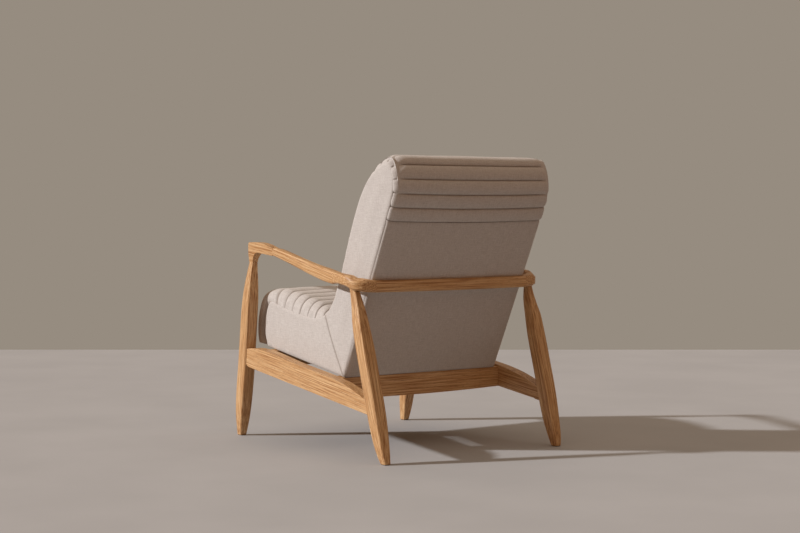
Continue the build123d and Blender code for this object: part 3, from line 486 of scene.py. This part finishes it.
moves = {"arm_elbow": move_line, "arm": move_line, "arm_corner": move_line,
         "side_rail": move_rail, "rear_leg": move_leg}
for kind, move in moves.items():
    for side in ("_left", "_right"):
        fuller_copy(kind, kind + side, move)
fuller_copy("back_rail", "back_rail", move_line)
print("fuller copies:", 2 * len(moves) + 1)

# %% [markdown]
# ## The shell's side outline
# The shell is an L in the side view. All its padded pieces meet along the sewn seam that
# follows this L, so the outline comes first. It is a smooth line through a few points: each
# is a share of the seat's or the back's length and thickness, measured from the heel, which
# is the L's lower rear corner. A cubic spline gives the line, as a bent batten would.

# %% Draw the outline
seat_length, seat_thickness, seat_crown = 415.0, 140.0, 50.0
back_length, back_thickness, back_crown = 661.0, 150.0, 26.0
crease_crown = 20.0
half_width, roll_radius = 276.0, 40.0
channel_pitch, seat_rib_height, back_rib_height = 41.0, 5.0, 6.0
plain_front_length, rear_plain_length = 196.0, 492.0
heel = np.array([130.35, 213.0])
seat_slope, back_slope = math.radians(8.6), math.radians(25.4)
seat_fore = np.array([-math.cos(seat_slope), math.sin(seat_slope)])
seat_up = np.array([math.sin(seat_slope), math.cos(seat_slope)])
back_up = np.array([math.sin(back_slope), math.cos(back_slope)])
back_fore = np.array([-math.cos(back_slope), math.sin(back_slope)])
seat_front_shares = [(0.0, 0.0), (0.48, 0.28), (0.6, 0.47), (0.46, 0.76), (0.2, 0.97)]
seat_top_shares = [(0.908, 1.007), (0.706, 0.975), (0.506, 0.985)]
crease_share = 1.05
back_outline_shares = [(0.235, 0.95), (0.4, 0.93), (0.54, 0.975), (0.68, 0.993),
                       (0.77, 0.968), (0.85, 0.892), (0.92, 0.76), (0.968, 0.61),
                       (0.99, 0.46), (0.972, 0.28), (0.927, 0.1), (0.865, 0.0)]


def seat_point(forward, up):
    return heel + forward * seat_fore + up * seat_up


def back_point(up, depth):
    return heel + up * back_up + depth * back_fore


def meeting_point(depth, height):
    # Where a line at this depth of the back crosses a line at this height of the seat
    forward = (depth - height * seat_up.dot(back_fore)) / seat_fore.dot(back_fore)
    return seat_point(forward, height)


def line_length(line):
    return float(np.linalg.norm(np.diff(line, axis=0), axis=1).sum())


def smooth_line(points, start=None, end=None, steps=40):
    # A cubic spline through the points, with given directions at its ends or free ones
    points = np.array(points)
    chord = np.linalg.norm(np.diff(points, axis=0), axis=1)
    count = len(points)
    rows, right = np.zeros((count, count)), np.zeros((count, 2))
    slopes = np.diff(points, axis=0) / chord[:, None]
    for i in range(1, count - 1):
        before, after = 1 / chord[i - 1], 1 / chord[i]
        rows[i, i - 1:i + 2] = before, 2 * (before + after), after
        right[i] = 3 * (slopes[i - 1] * before + slopes[i] * after)
    for i, other, direction, slope in ((0, 1, start, slopes[0]), (-1, -2, end, slopes[-1])):
        rows[i, i] = 1.0 if direction is not None else 2.0
        rows[i, other] = 0.0 if direction is not None else 1.0
        right[i] = direction if direction is not None else 3 * slope
    tangents = np.linalg.solve(rows, right)
    t = np.linspace(0, 1, steps + 1)[:-1, None]
    pieces = []
    for i in range(count - 1):
        span_length = chord[i]
        pieces.append((2 * t ** 3 - 3 * t ** 2 + 1) * points[i]
                      + (t ** 3 - 2 * t ** 2 + t) * span_length * tangents[i]
                      + (3 * t ** 2 - 2 * t ** 3) * points[i + 1]
                      + (t ** 3 - t ** 2) * span_length * tangents[i + 1])
    return np.vstack(pieces + [points[-1:]])


crease = meeting_point(back_thickness, crease_share * seat_thickness)
seat_outline = [seat_point(seat_length + f * seat_crown, h * seat_thickness)
                for f, h in seat_front_shares]
seat_outline += [seat_point(f * seat_length, h * seat_thickness) for f, h in seat_top_shares]
seat_line = smooth_line(seat_outline + [crease])
back_outline = [crease] + [back_point(u * back_length, d * back_thickness)
                           for u, d in back_outline_shares]
first_rise = (back_outline[1] - crease) / np.linalg.norm(back_outline[1] - crease)
rear_end = back_point(rear_plain_length, 0.0)
back_line = np.vstack([smooth_line(back_outline, first_rise, -back_up), rear_end])
print("outline lengths in mm:", [round(line_length(line)) for line in (seat_line, back_line)])

# %% [markdown]
# ## Padding over the outline
# The covers don't follow the side outline all the way across. Foam lifts them: most along
# the seat's top and front, less on the back, and not at all on the rear panel. Near the side
# the padding rolls over in a quarter of an ellipse, down to the seam. These tables say how
# far the padding stands out at some places along the outline, from 0 to 1.

# %% Places along and across the covers
seat_swell = [(0.0, 1.24, 0.0), (0.106, 0.98, -0.04), (0.16, 0.94, 0.06), (0.25, 0.92, 0.34),
              (0.32, 0.78, 0.52), (0.425, 0.3, 0.8), (0.6, 0.03, 0.92), (0.8, 0.0, 0.8)]
back_swell = [(0.0, 0.77), (0.12, 0.95), (0.3, 1.0), (0.5, 0.75), (0.62, 0.4), (0.72, 0.1),
              (0.8, 0.04), (1.0, 0.04)]
roll_angles = np.radians([0, 10, 20, 30, 40, 49, 57, 64, 70, 76, 81, 86])
rib_steps = np.array([0.0, 0.045, 0.13, 0.28, 0.5, 0.72, 0.87, 0.955])
cover_half_width = half_width - 2.0
edge_round, edge_drop = 12.0, 8.0
tuck_width, tuck_drop = 5.5, 10.0
lining_start, lining_inset, lining_depth = 4.0, 10.5, 2.5
flat_width = cover_half_width - roll_radius
flat_columns, middle_bulge = 21, 0.07

half_columns = np.linspace(0, flat_width, flat_columns)
roll_columns = flat_width + roll_radius * np.sin(roll_angles[1:])
column_x = np.concatenate([half_columns, roll_columns, [half_width - tuck_width]])
roll_crown = np.concatenate([
    1 + middle_bulge * np.cos(0.5 * math.pi * half_columns / flat_width),
    np.cos(roll_angles[1:]), [0.0]])
roll_share = np.concatenate([np.ones(flat_columns), np.cos(roll_angles[1:]), [0.0]])
reach = np.clip((column_x - cover_half_width + edge_round) / edge_round, 0, 1)
roll_drop = edge_drop * (1 - np.sqrt(1 - reach ** 2))
roll_drop[-1] = tuck_drop


def both_halves(values, sign=1):
    return np.concatenate([sign * values[:0:-1], values])


column_x, crown, middle_share, drop = (both_halves(column_x, -1), both_halves(roll_crown),
                                       both_halves(roll_share), both_halves(roll_drop))
print("columns across a cover:", len(column_x))

# %% [markdown]
# ## A cover as a closed mesh
# A cover is made from a grid of points: rows along the outline and columns across the chair.
# Under it lies a plain lining grid, just inside the outline. Joining the two grids round
# their edges gives one closed solid, as real padding is. Each point also keeps its place on
# the flat cloth, which the weave follows, and how much painted shade a stitch or seam puts on it.

# %% Grids and closed meshes
direction_reach = 2.0


def positions_on(line, places):
    # Points of a line at these distances along it, with the outward direction there
    gaps = np.linalg.norm(np.diff(line, axis=0), axis=1)
    kept = line[np.concatenate([[True], gaps > 1e-9])]
    along = np.concatenate([[0.0], np.cumsum(gaps[gaps > 1e-9])])

    def shifted(shift):
        return np.stack([np.interp(places + shift, along, kept[:, i]) for i in (0, 1)], -1)
    travel = shifted(direction_reach) - shifted(-direction_reach)
    travel /= np.linalg.norm(travel, axis=-1, keepdims=True)
    return shifted(0.0), np.stack([-travel[..., 1], travel[..., 0]], -1), along[-1]


def surface_normals(grid):
    normals = np.cross(np.gradient(grid, axis=1), np.gradient(grid, axis=0))
    return normals / np.maximum(np.linalg.norm(normals, axis=-1, keepdims=True), 1e-9)


def grid_faces(rows, columns):
    index = np.arange(rows * columns).reshape(rows, columns)
    corners = index[:-1, :-1], index[:-1, 1:], index[1:, 1:], index[1:, :-1]
    return np.stack([corner.ravel() for corner in corners], -1)


def closed_piece(name, outer, lining, faces, cloth, painted_seam_shade, finish, replaced):
    # Outer points, lining points and faces of the outer side, all in millimetres
    outer, lining = outer.reshape(-1, 3), lining.reshape(-1, 3)
    count = len(outer)
    sides = {(int(a), int(b)) for face in faces for a, b in zip(face, np.roll(face, -1))}
    rim = [(b, a, a + count, b + count) for a, b in sides if (b, a) not in sides]
    polygons = ([tuple(map(int, face)) for face in faces]
                + [tuple(int(i) + count for i in face[::-1]) for face in faces] + sorted(rim))
    mesh = bpy.data.meshes.new(name)
    mesh.from_pydata((np.vstack([outer, lining]) * MM).tolist(), [], polygons)
    mesh.update()
    cloth = np.vstack([cloth.reshape(-1, 2)] * 2) * MM
    corner_points = np.zeros(len(mesh.loops), int)
    mesh.loops.foreach_get("vertex_index", corner_points)
    layer = mesh.uv_layers.new(name="cloth")
    layer.data.foreach_set("uv", cloth[corner_points].ravel())
    # The painted seam shade of each outer point; the lining gets none
    painted_shade_layer = mesh.attributes.new("painted_seam_shade", "FLOAT", "POINT")
    painted_shade_layer.data.foreach_set("value", np.concatenate([painted_seam_shade.ravel(), np.zeros(count)]))
    mesh.polygons.foreach_set("use_smooth", [True] * len(mesh.polygons))
    piece = new_object(name, mesh)
    mesh.materials.append(finish)
    modify(piece, "subdivision", "SUBSURF", levels=1, render_levels=1)
    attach(piece, "root")
    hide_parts(replaced)
    print(name, "faces:", len(polygons))
    return piece


def closed_cover(name, outer, lining, faces, cloth, painted_seam_shade, replaced):
    cover = closed_piece(name, outer, lining, faces, cloth, painted_seam_shade, fabric,
                         replaced)


print("directions are taken over", 2 * direction_reach, "mm")

# %% [markdown]
# ## Sewn channels
# The channels are rows of stitches through the cover and a thin pad. Between two rows the
# pad lifts the fabric in a soft rib, and at the row the thread pulls it into a narrow slit.
# The rib's height is a power curve, full in the middle and steep beside the thread. At the
# side seam the ribs are gathered, so each end bulges out and carries small folds.

# %% Ribs, slits and gathered ends
slit_depth, least_slit = 4.0, 0.4
rib_power, end_power = 2.4, 1.7
half_rib_height = 0.6
gather_height, gather_reach, gather_rise = 1.3, 16.0, 3.0
fold_lengths, slow_lengths = (2.3, 3.7, 31.0), (47.0, 60.0, 83.0, 95.0)
wander_height = 0.8
waves = np.random.default_rng(7).uniform(0, 2 * math.pi, (3, 64))


def cover_rows(start, plain_step, first_stitch, last_stitch):
    # Places along a cover with the rib's height there, and where the thread lies
    plain_count = max(2, round((first_stitch - start) / plain_step))
    plain = np.linspace(start, first_stitch, plain_count)[:-1]
    count = round((last_stitch - first_stitch) / channel_pitch)
    ribs = first_stitch + channel_pitch * (np.arange(count)[:, None] + rib_steps)
    heights = np.tile(1 - np.abs(2 * rib_steps - 1) ** rib_power, count)
    threads = np.tile(rib_steps == 0, count).astype(float)
    places = np.concatenate([plain if start < first_stitch else [], ribs.ravel(), [last_stitch]])
    lead = len(places) - len(heights) - 1
    return (places, np.concatenate([np.zeros(lead), heights, [0.0]]),
            np.concatenate([np.zeros(lead), threads, [1.0]]))


def gathered(places, x):
    # Folds beside the seam, and a slow unevenness everywhere
    short, long, bend = (places / length for length in fold_lengths)
    folds = np.sin(short + waves[0, 0]) + np.sin(long + 3 * np.sin(bend))
    near = np.exp(-((half_width - np.abs(x)) / gather_reach) ** 2)
    a, b, c, d = slow_lengths
    slow = np.sin(places / a + waves[1, 1] + x / b) * np.sin(x / c + places / d + waves[1, 2])
    return gather_height * 0.5 * folds * near + wander_height * slow * (1 - near)


def raise_channels(skin, places, heights, threads, rib_height, end_height):
    # Moves a smooth skin out by the ribs and in by the slits
    rise = end_height + (1 - end_height) * middle_share ** end_power
    unevenness = gathered(places, column_x) * np.clip(heights * gather_rise, 0, 1)
    lift = rib_height * heights * rise + unevenness
    depth = slit_depth * threads * (least_slit + (1 - least_slit) * rise)
    return skin + surface_normals(skin) * (lift - depth)[..., None]


def in_space(points):
    return np.concatenate([np.broadcast_to(column_x, points.shape[:-1])[..., None], points], -1)


def tuck_row(row, inward, amount):
    # One more row that turns the cover's edge in
    return row + np.concatenate([[0.0], inward]) * amount


def lining_grid(line, places):
    points, outward, _ = positions_on(line, np.clip(places, lining_start, None))
    shrink = (half_width - lining_inset) / (half_width - tuck_width)
    grid = in_space(points - outward * lining_depth)
    grid[..., 0] *= shrink
    return grid


print("slit depth in mm:", slit_depth, "rib heights:", seat_rib_height, back_rib_height)

# %% [markdown]
# ## The seat cover
# It starts at the hem under the front, runs up the plain padded front, over the nose and
# back to the crease. The stitch rows begin where the nose flattens. The last rib dives into
# the crease, where the seat meets the back.

# %% Make the seat cover
seat_total = line_length(seat_line)
crease_offset = (meeting_point(1.0, 1.0) - meeting_point(0.0, 0.0)) * crease_crown
crease_way = crease_offset / np.linalg.norm(crease_offset)
rib_count = round((seat_total - plain_front_length) / channel_pitch - 0.5)
last_groove = plain_front_length + rib_count * channel_pitch
fine_steps, plain_spacing = 240, 11.0
edge_turn, rear_turn = 7.0, 4.0
# Share of painted shade on the thread rows and the side seams
stitch_shade = 0.8
seat_end_share = 0.12
fullness_places, seat_fullness = (0.0, 0.3, 0.42, 1.0), (0.12, 0.2, 1.2, 1.5)


def rounded_skin(skin_at, total, passes=50):
    # A finely stepped skin, with the corners of its straight-line tables rounded off
    fine_places = np.linspace(0, total, fine_steps)
    fine = skin_at(np.broadcast_to(fine_places[:, None], (fine_steps, len(column_x))))
    for _ in range(passes):
        fine[1:-1] = fine[1:-1] / 2 + (fine[:-2] + fine[2:]) / 4

    def skin(places):
        result = np.empty(places.shape + (3,))
        for column in range(places.shape[1]):
            for axis in range(3):
                result[:, column, axis] = np.interp(places[:, column], fine_places,
                                                    fine[:, column, axis])
        return result
    return skin


def add_tail(rows, start, end, steps=6):
    # The half rib that dives into the crease
    share = np.linspace(0, 1, steps + 1)[1:]
    extra = (start + (end - start) * share, half_rib_height * np.sin(math.pi * share),
             np.zeros(steps))
    return [np.concatenate([row, more]) for row, more in zip(rows, extra)]


def seat_skin(places):
    base, outward, total = positions_on(seat_line, places)
    table = np.array(seat_swell + [(1.0, crease_offset @ seat_fore / seat_crown,
                                    crease_offset @ seat_up / seat_crown)])
    fore, up = (np.interp(places / total, table[:, 0], table[:, i])[..., None] for i in (1, 2))
    fullness = np.interp(places / total, fullness_places, seat_fullness)
    lift = (fore * seat_fore + up * seat_up) * (crown ** fullness * seat_crown)[..., None]
    return in_space(base + lift - outward * drop[..., None])


# Painted shade along the cover's two side seams
side_seam_shade = np.zeros(len(column_x))
side_seam_shade[[0, -1]] = stitch_shade


def sewn_cover(name, grid, line, places, threads, first_turn, last_turn, replaced):
    # One turned-in row at each end, and the lining under it all
    outer = np.concatenate([tuck_row(grid[:1], *first_turn), grid,
                            tuck_row(grid[-1:], *last_turn)])
    lining_places = np.concatenate([places[:1], places, places[-1:]])
    cloth = np.stack(np.broadcast_arrays(column_x, lining_places), -1)
    # The thread rows and the side seams get painted shade
    closed_cover(name, outer, lining_grid(line, lining_places), grid_faces(*outer.shape[:2]),
                 cloth, np.maximum(threads[:, None], side_seam_shade), replaced)


def ribbed_cover(name, skin, line, rows, places, rib, *rest):
    _, heights, threads = rows
    grid = raise_channels(skin(places), places, heights[:, None], threads[:, None], *rib)
    sewn_cover(name, grid, line, places, np.concatenate([[0.0], threads, [1.0]]), *rest)


seat_rows = add_tail(cover_rows(0.0, plain_spacing, plain_front_length, last_groove),
                     last_groove, seat_total)
seat_places = np.tile(seat_rows[0][:, None], len(column_x))
ribbed_cover("seat_cover_padded", rounded_skin(seat_skin, seat_total), seat_line, seat_rows,
             seat_places, (seat_rib_height, seat_end_share), (-seat_fore, edge_turn),
             (-crease_way, edge_turn), "seat_cover")

# %% [markdown]
# ## The back cover
# It rises from the crease, goes over the top and comes down the rear as far as the lowest
# stitch row. Here the rows are counted back from that lowest row. Behind, the rows sag a
# little in the middle, because the fabric hangs there.

# %% Make the back cover
back_total = line_length(back_line)
back_ribs = int(back_total / channel_pitch - 0.5)
first_groove = back_total - back_ribs * channel_pitch
rear_rows, sag_depth, back_fullness = 5, 6.0, 2.0
fall_shares = (0.5, 0.64, 0.7, 0.745, 0.8, 0.86, 0.94)
fall_depths = (0, 4, 9, 14, 11, 6, 0)
back_end_places, back_end_shares = (0, 0.62, 0.76, 1), (0.0, 0.0, 0.45, 0.35)
corner_limit = 1.1
back_line_long = np.vstack([back_line, rear_end - 2 * sag_depth * back_up])


def top_fall(share):
    # How much lower the top's corners lie than its middle
    return np.interp(share, fall_shares, fall_depths)


def back_skin(places):
    base, outward, _ = positions_on(back_line_long, places)
    table = np.array(back_swell)
    swell = np.interp(places / back_total, table[:, 0], table[:, 1])[..., None] * back_crown
    near_crease = np.clip(1 - places / channel_pitch, 0, 1)[..., None]
    lift = outward * swell * (1 - near_crease) + crease_offset * near_crease
    rolled = np.clip((np.abs(column_x) - flat_width) / roll_radius, 0, corner_limit)
    corner = top_fall(places / back_total) * rolled ** 2
    return in_space(base + lift * (crown ** back_fullness)[..., None]
                    - outward * (drop + corner)[..., None])


def sagging(places):
    # The rear rows hang in a shallow curve, the lowest one most
    share = np.clip((places - back_total) / (rear_rows * channel_pitch) + 1, 0, 1)
    return places[:, None] + sag_depth * share[:, None] * (1 - (column_x / half_width) ** 2)


lead = np.linspace(0, first_groove, 5)[:-1]
ribbed = cover_rows(first_groove, 1.0, first_groove, back_total)
back_rows = [np.concatenate([row, more]) for row, more in zip(
    (lead, half_rib_height * np.sin(math.pi * lead / first_groove), 0 * lead), ribbed)]
back_ends = np.interp(back_rows[0] / back_total, back_end_places, back_end_shares)[:, None]
ribbed_cover("back_cover_padded", rounded_skin(back_skin, back_total + sag_depth),
             back_line_long, back_rows, sagging(back_rows[0]), (back_rib_height, back_ends),
             (-crease_way, edge_turn), (back_fore, rear_turn), "back_cover")

# %% [markdown]
# ## The rear panel
# Below the lowest stitch row the back is one plain piece of fabric over a board, stretched
# down to the heel. It is nearly flat. Just under the stitches it is gathered in small
# upright folds, which fade out within a few centimetres.

# %% Make the rear panel
rear_puff = 2.5
first_dip, dip_length = 4.0, 12.0
fold_height, fold_length, fold_widths = 0.9, 26.0, (3.1, 37.0)


def rear_skin(places):
    base, outward, total = positions_on(np.array([rear_end, heel]), places)
    down = places / total
    narrow, wide = (column_x / width for width in fold_widths)
    folds = np.sin(narrow + 2 * np.sin(wide)) * np.exp(-places / fold_length)
    puff = (rear_puff * np.sin(math.pi * down) * crown - first_dip
            * np.clip(1 - places / dip_length, 0, 1) ** 2 + fold_height * folds * crown)
    return in_space(base + outward * (puff - drop)[..., None])


rear_places = np.concatenate([[0.0, 2.0, 4.5, 8.0, 13.0, 19.0, 26.0],
                              np.linspace(35.0, rear_plain_length, 40)])
sag = sag_depth * (1 - (column_x / half_width) ** 2)
rear_spread = sag + rear_places[:, None] * (1 - sag / rear_plain_length)
sewn_cover("rear_cover_padded", rear_skin(rear_spread), np.array([rear_end, heel]),
           rear_spread, np.concatenate([[1.0], rear_places == 0, [0.0]]),
           (back_fore, rear_turn), (back_fore, edge_turn), "rear_cover")

# %% [markdown]
# ## The side panels
# Each side is one padded panel, sewn from a seat piece and a back piece. The seam between
# them runs from the crease down to the heel. The panel is two patches of points that share
# this seam. A patch is filled in between its four edges, with the points closer together
# near the edges, so that the rounding there is smooth.

# %% Fill in the side panel's outline
panel_edge = 3.0
nose_share, front_shoulder, rear_shoulder = 0.315, 0.66, 0.8
seat_count, back_count, across_count, panel_steps = 44, 60, 26, 200
front_stand, stand_places, stand_shares = 6.0, (0.0, 0.06, 0.58, 0.66), (0, 1, 1, 0)
crease_fill, crease_reach = 20.0, 75.0


def eased(count):
    return 0.5 - 0.5 * np.cos(np.linspace(0, math.pi, count))


def walk(line, start, end, count):
    # Points along a line between two shares of its length, closer together at the ends
    return positions_on(line, (start + (end - start) * eased(count)) * line_length(line))[0]


def filled_patch(low, high, first, last):
    # A Coons patch: edges low and high run one way, first and last the other
    u, v = eased(len(low))[:, None, None], eased(len(first))[None, :, None]
    across = low[:, None] * (1 - v) + high[:, None] * v
    along = first[None] * (1 - u) + last[None] * u
    corners = (low[0] * (1 - u) * (1 - v) + low[-1] * u * (1 - v)
               + high[0] * (1 - u) * v + high[-1] * u * v)
    return across + along - corners


def drawn_in(line, amount):
    points, outward, _ = positions_on(line, np.linspace(0, line_length(line), panel_steps))
    return points - outward * np.reshape(amount, (-1, 1))


panel_crease = meeting_point(back_thickness - panel_edge,
                             crease_share * seat_thickness - panel_edge)
panel_heel = meeting_point(panel_edge, 1.0)
top_line = drawn_in(seat_line, panel_edge)
top_line[0], top_line[-1] = seat_point(seat_length - panel_edge, 1.0), panel_crease
shares = np.linspace(0, 1, panel_steps)
rise_line = drawn_in(back_line, panel_edge + top_fall(shares)
                     - front_stand * np.interp(shares, stand_places, stand_shares))
rise_line[0] = panel_crease
fall_line = np.vstack([panel_heel, rise_line[::-1]])
fall_share = ((rear_plain_length + (1 - rear_shoulder) * back_total)
              / (rear_plain_length + back_total))
for line in (top_line, rise_line, fall_line):
    near = np.clip(1 - np.linalg.norm(line - panel_crease, axis=1) / crease_reach, 0, 1) ** 2
    line += crease_fill * near[:, None] * crease_way
panel_crease = panel_crease + crease_fill * crease_way
seam_line = np.array([panel_heel, panel_crease])
seat_patch = filled_patch(walk(np.array([top_line[0], panel_heel]), 0, 1, seat_count),
                          walk(top_line, nose_share, 1, seat_count),
                          walk(top_line, 0, nose_share, across_count),
                          walk(seam_line, 0, 1, across_count))
back_patch = filled_patch(walk(fall_line, 0, fall_share, back_count),
                          walk(rise_line, 0, front_shoulder, back_count),
                          walk(seam_line, 0, 1, across_count),
                          walk(rise_line, rear_shoulder, front_shoulder, across_count))
panel_grid = np.concatenate([seat_patch, back_patch[1:]])
print("points of a side panel:", panel_grid.shape[:2])

# %% [markdown]
# ## How far the side panels stand out
# The fabric leaves the edge seam in a quarter of an ellipse and then rises a little more
# towards the middle, where the pad under it is free. Along the sewn seam it dips to the
# thread.

# %% Make the side panels
panel_inner, panel_root = 266.4, 270.5
panel_puff, puff_reach = 2.5, 45.0
panel_height, panel_roll = 6.0, 10.0
seam_width, seam_depth = 2.6, 1.2
ripple_height, ripple_ways = 0.5, ((0.06, 0.035), (-0.03, 0.08))
# rim_shade is the share of painted shade along the panel's rim seam
ripple_fade, rim_shade, rim_reach = 20.0, 0.7, 0.5


def distance_to(points, line):
    # Shortest distance from each point to a line of short straight pieces
    start, step = line[:-1], np.diff(line, axis=0)
    share = np.einsum("pij,ij->pi", points[:, None] - start, step) / (step ** 2).sum(1)
    nearest = start + np.clip(share, 0, 1)[..., None] * step
    return np.linalg.norm(points[:, None] - nearest, axis=-1).min(1)


flat_points = panel_grid.reshape(-1, 2)
rim_line = np.vstack([panel_grid[:, 0], panel_grid[-1], panel_grid[::-1, -1],
                      panel_grid[0, ::-1]])
rim_steps = np.linalg.norm(np.diff(rim_line, axis=0), axis=1)
rim_line = rim_line[np.concatenate([[True], rim_steps > 1e-6])]
edge_distance = distance_to(flat_points, rim_line)
seam_distance = distance_to(flat_points, seam_line)
rounding = panel_height * np.sqrt(1 - (1 - np.clip(edge_distance / panel_roll, 0, 1)) ** 2)
puff = panel_puff * (1 - np.exp(-(edge_distance / puff_reach) ** 2))
groove = np.exp(-(seam_distance / seam_width) ** 2)
ripple = ripple_height * np.prod([np.sin(flat_points @ way) for way in ripple_ways], axis=0)
stand_out = (panel_root + rounding - seam_depth * groove
             + (puff + ripple) * np.clip(edge_distance / ripple_fade, 0, 1))
panel_faces = grid_faces(*panel_grid.shape[:2])
# Painted shade along the sewn seam's groove and along the panel's rim
panel_seam_shade = np.maximum(stitch_shade * groove, rim_shade * (edge_distance < rim_reach))
for side, name in ((1, "left"), (-1, "right")):
    faces = panel_faces[:, ::-1] if side > 0 else panel_faces
    outer = np.column_stack([side * stand_out, flat_points])
    inner = np.column_stack([np.full(len(flat_points), side * panel_inner), flat_points])
    closed_cover("side_cover_" + name + "_padded", outer, inner, faces, flat_points, panel_seam_shade,
                 "side_cover_" + name)

# %% [markdown]
# ## The dust cloth
# A thin black cloth is stapled under the seat, to keep dust from falling out of the padding.
# It is stretched flat, and hangs a little between the two cross rails.

# %% Make the dust cloth
cloth_width, cloth_start, cloth_end = 528.0, 6.0, 400.0
cloth_top, cloth_thickness, cloth_hang = 0.9, 0.6, 2.0
rail_start, rail_end = 45.0, 335.0
cloth_x = np.linspace(-cloth_width / 2, cloth_width / 2, 25)
cloth_forward = np.linspace(cloth_start, cloth_end, 33)
between = share_past(cloth_forward, rail_start, rail_end - rail_start)
hang = cloth_hang * np.sin(math.pi * between)[:, None] * (1 - (2 * cloth_x / cloth_width) ** 2)
layers = []
for height in (cloth_top, cloth_top - cloth_thickness):
    middle = (heel + cloth_forward[:, None, None] * seat_fore
              + (height - hang)[..., None] * seat_up)
    layers.append(np.concatenate([np.broadcast_to(cloth_x[:, None], middle.shape[:2] + (1,)),
                                  middle], -1))
# The dust cloth gets no painted seam shade
cloth_seam_shade = np.zeros(layers[0].shape[:2])
dust_cloth = closed_piece("dust_cloth_stretched", layers[1], layers[0],
                          grid_faces(*cloth_seam_shade.shape)[:, ::-1], layers[0][..., :2], cloth_seam_shade,
                          stocks["black_cloth"], "dust_cloth")

# %% [markdown]
# ## Foam
# The foam blocks under the covers are cut from sheet foam and pressed by the fabric, so
# their edges are soft. Each is remeshed into small even faces and then smoothed, which
# rounds its edges as the pressed foam is rounded.

# %% Make the foam blocks
foam_voxel = 6.0
foam_smoothing = 8
for name in ("seat_foam", "front_foam", "back_foam", "top_foam"):
    block = new_object(name + "_block", nodes[name].data.copy())
    modify(block, "even_faces", "REMESH", mode="VOXEL", voxel_size=foam_voxel * MM,
           use_smooth_shade=True)
    modify(block, "soft_edges", "SMOOTH", iterations=foam_smoothing)
    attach(block, "root")
    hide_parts(name)
print("foam voxel in mm:", foam_voxel)

# %% [markdown]
# ## Floor, wall and light
# The chair stands on a plain pale floor. The wall behind it is one colour of the world that
# shows only to the camera and in reflections, so it adds no light to the chair. One low lamp
# shines from the sitter's left and a little from the front, because the photograph's shadows
# fall the other way. A dim light fills them, brown from the sides and paler from above.

# %% Make the floor and the light
floor_half = 3.15
floor_mesh = bpy.data.meshes.new("floor")
floor_corners = [(-floor_half, -floor_half, 0), (floor_half, -floor_half, 0),
                 (floor_half, floor_half, 0), (-floor_half, floor_half, 0)]
floor_mesh.from_pydata(floor_corners, [], [(0, 1, 2, 3)])
floor = new_object("floor", floor_mesh)
floor.rotation_euler = (0, 0, camera_heading)
floor_mesh.materials.append(stock("pale_floor", "#a9a9a9", "#aeaeae", (420.0,) * 3, 0.8))

world = bpy.data.worlds.new("room")
bpy.context.scene.world = world
world.use_nodes = True
tree = world.node_tree
tree.nodes.clear()
path = add(tree, "LightPath").outputs
mirrored = maths(tree, "ADD", path["Is Glossy Ray"], path["Is Transmission Ray"])
seen = add(tree, "Math", {0: path["Is Camera Ray"], 1: mirrored}, use_clamp=True)
direction = add(tree, "SeparateXYZ", {0: add(tree, "TexCoord").outputs["Generated"]})
sky = ramp(tree, direction.outputs["Z"], (0.0, "#683e1f"), (0.35, "#86562a"), (1.0, "#ddcfbe"))
wall = add(tree, "Background", {"Color": "#968c80", "Strength": 1.0})
fill = add(tree, "Background", {"Color": sky, "Strength": 1.0})
mixed = add(tree, "MixShader", {0: seen, 1: fill, 2: wall})
add(tree, "OutputWorld", {"Surface": mixed})

sun = new_object("sun", bpy.data.lights.new("sun", "SUN"))
sun_travel = Vector((-0.886, 0.464, -0.51))
sun.rotation_euler = sun_travel.to_track_quat("-Z", "Y").to_euler()
sun.data.energy = 3.35
sun.data.angle = math.radians(2.5)
sun.data.color = linear("#fffdfe")[:3]
bpy.context.scene.view_settings.view_transform = "Standard"
sun_height = math.asin(-sun_travel.z / sun_travel.length)
print("sun height in degrees:", round(math.degrees(sun_height), 1))
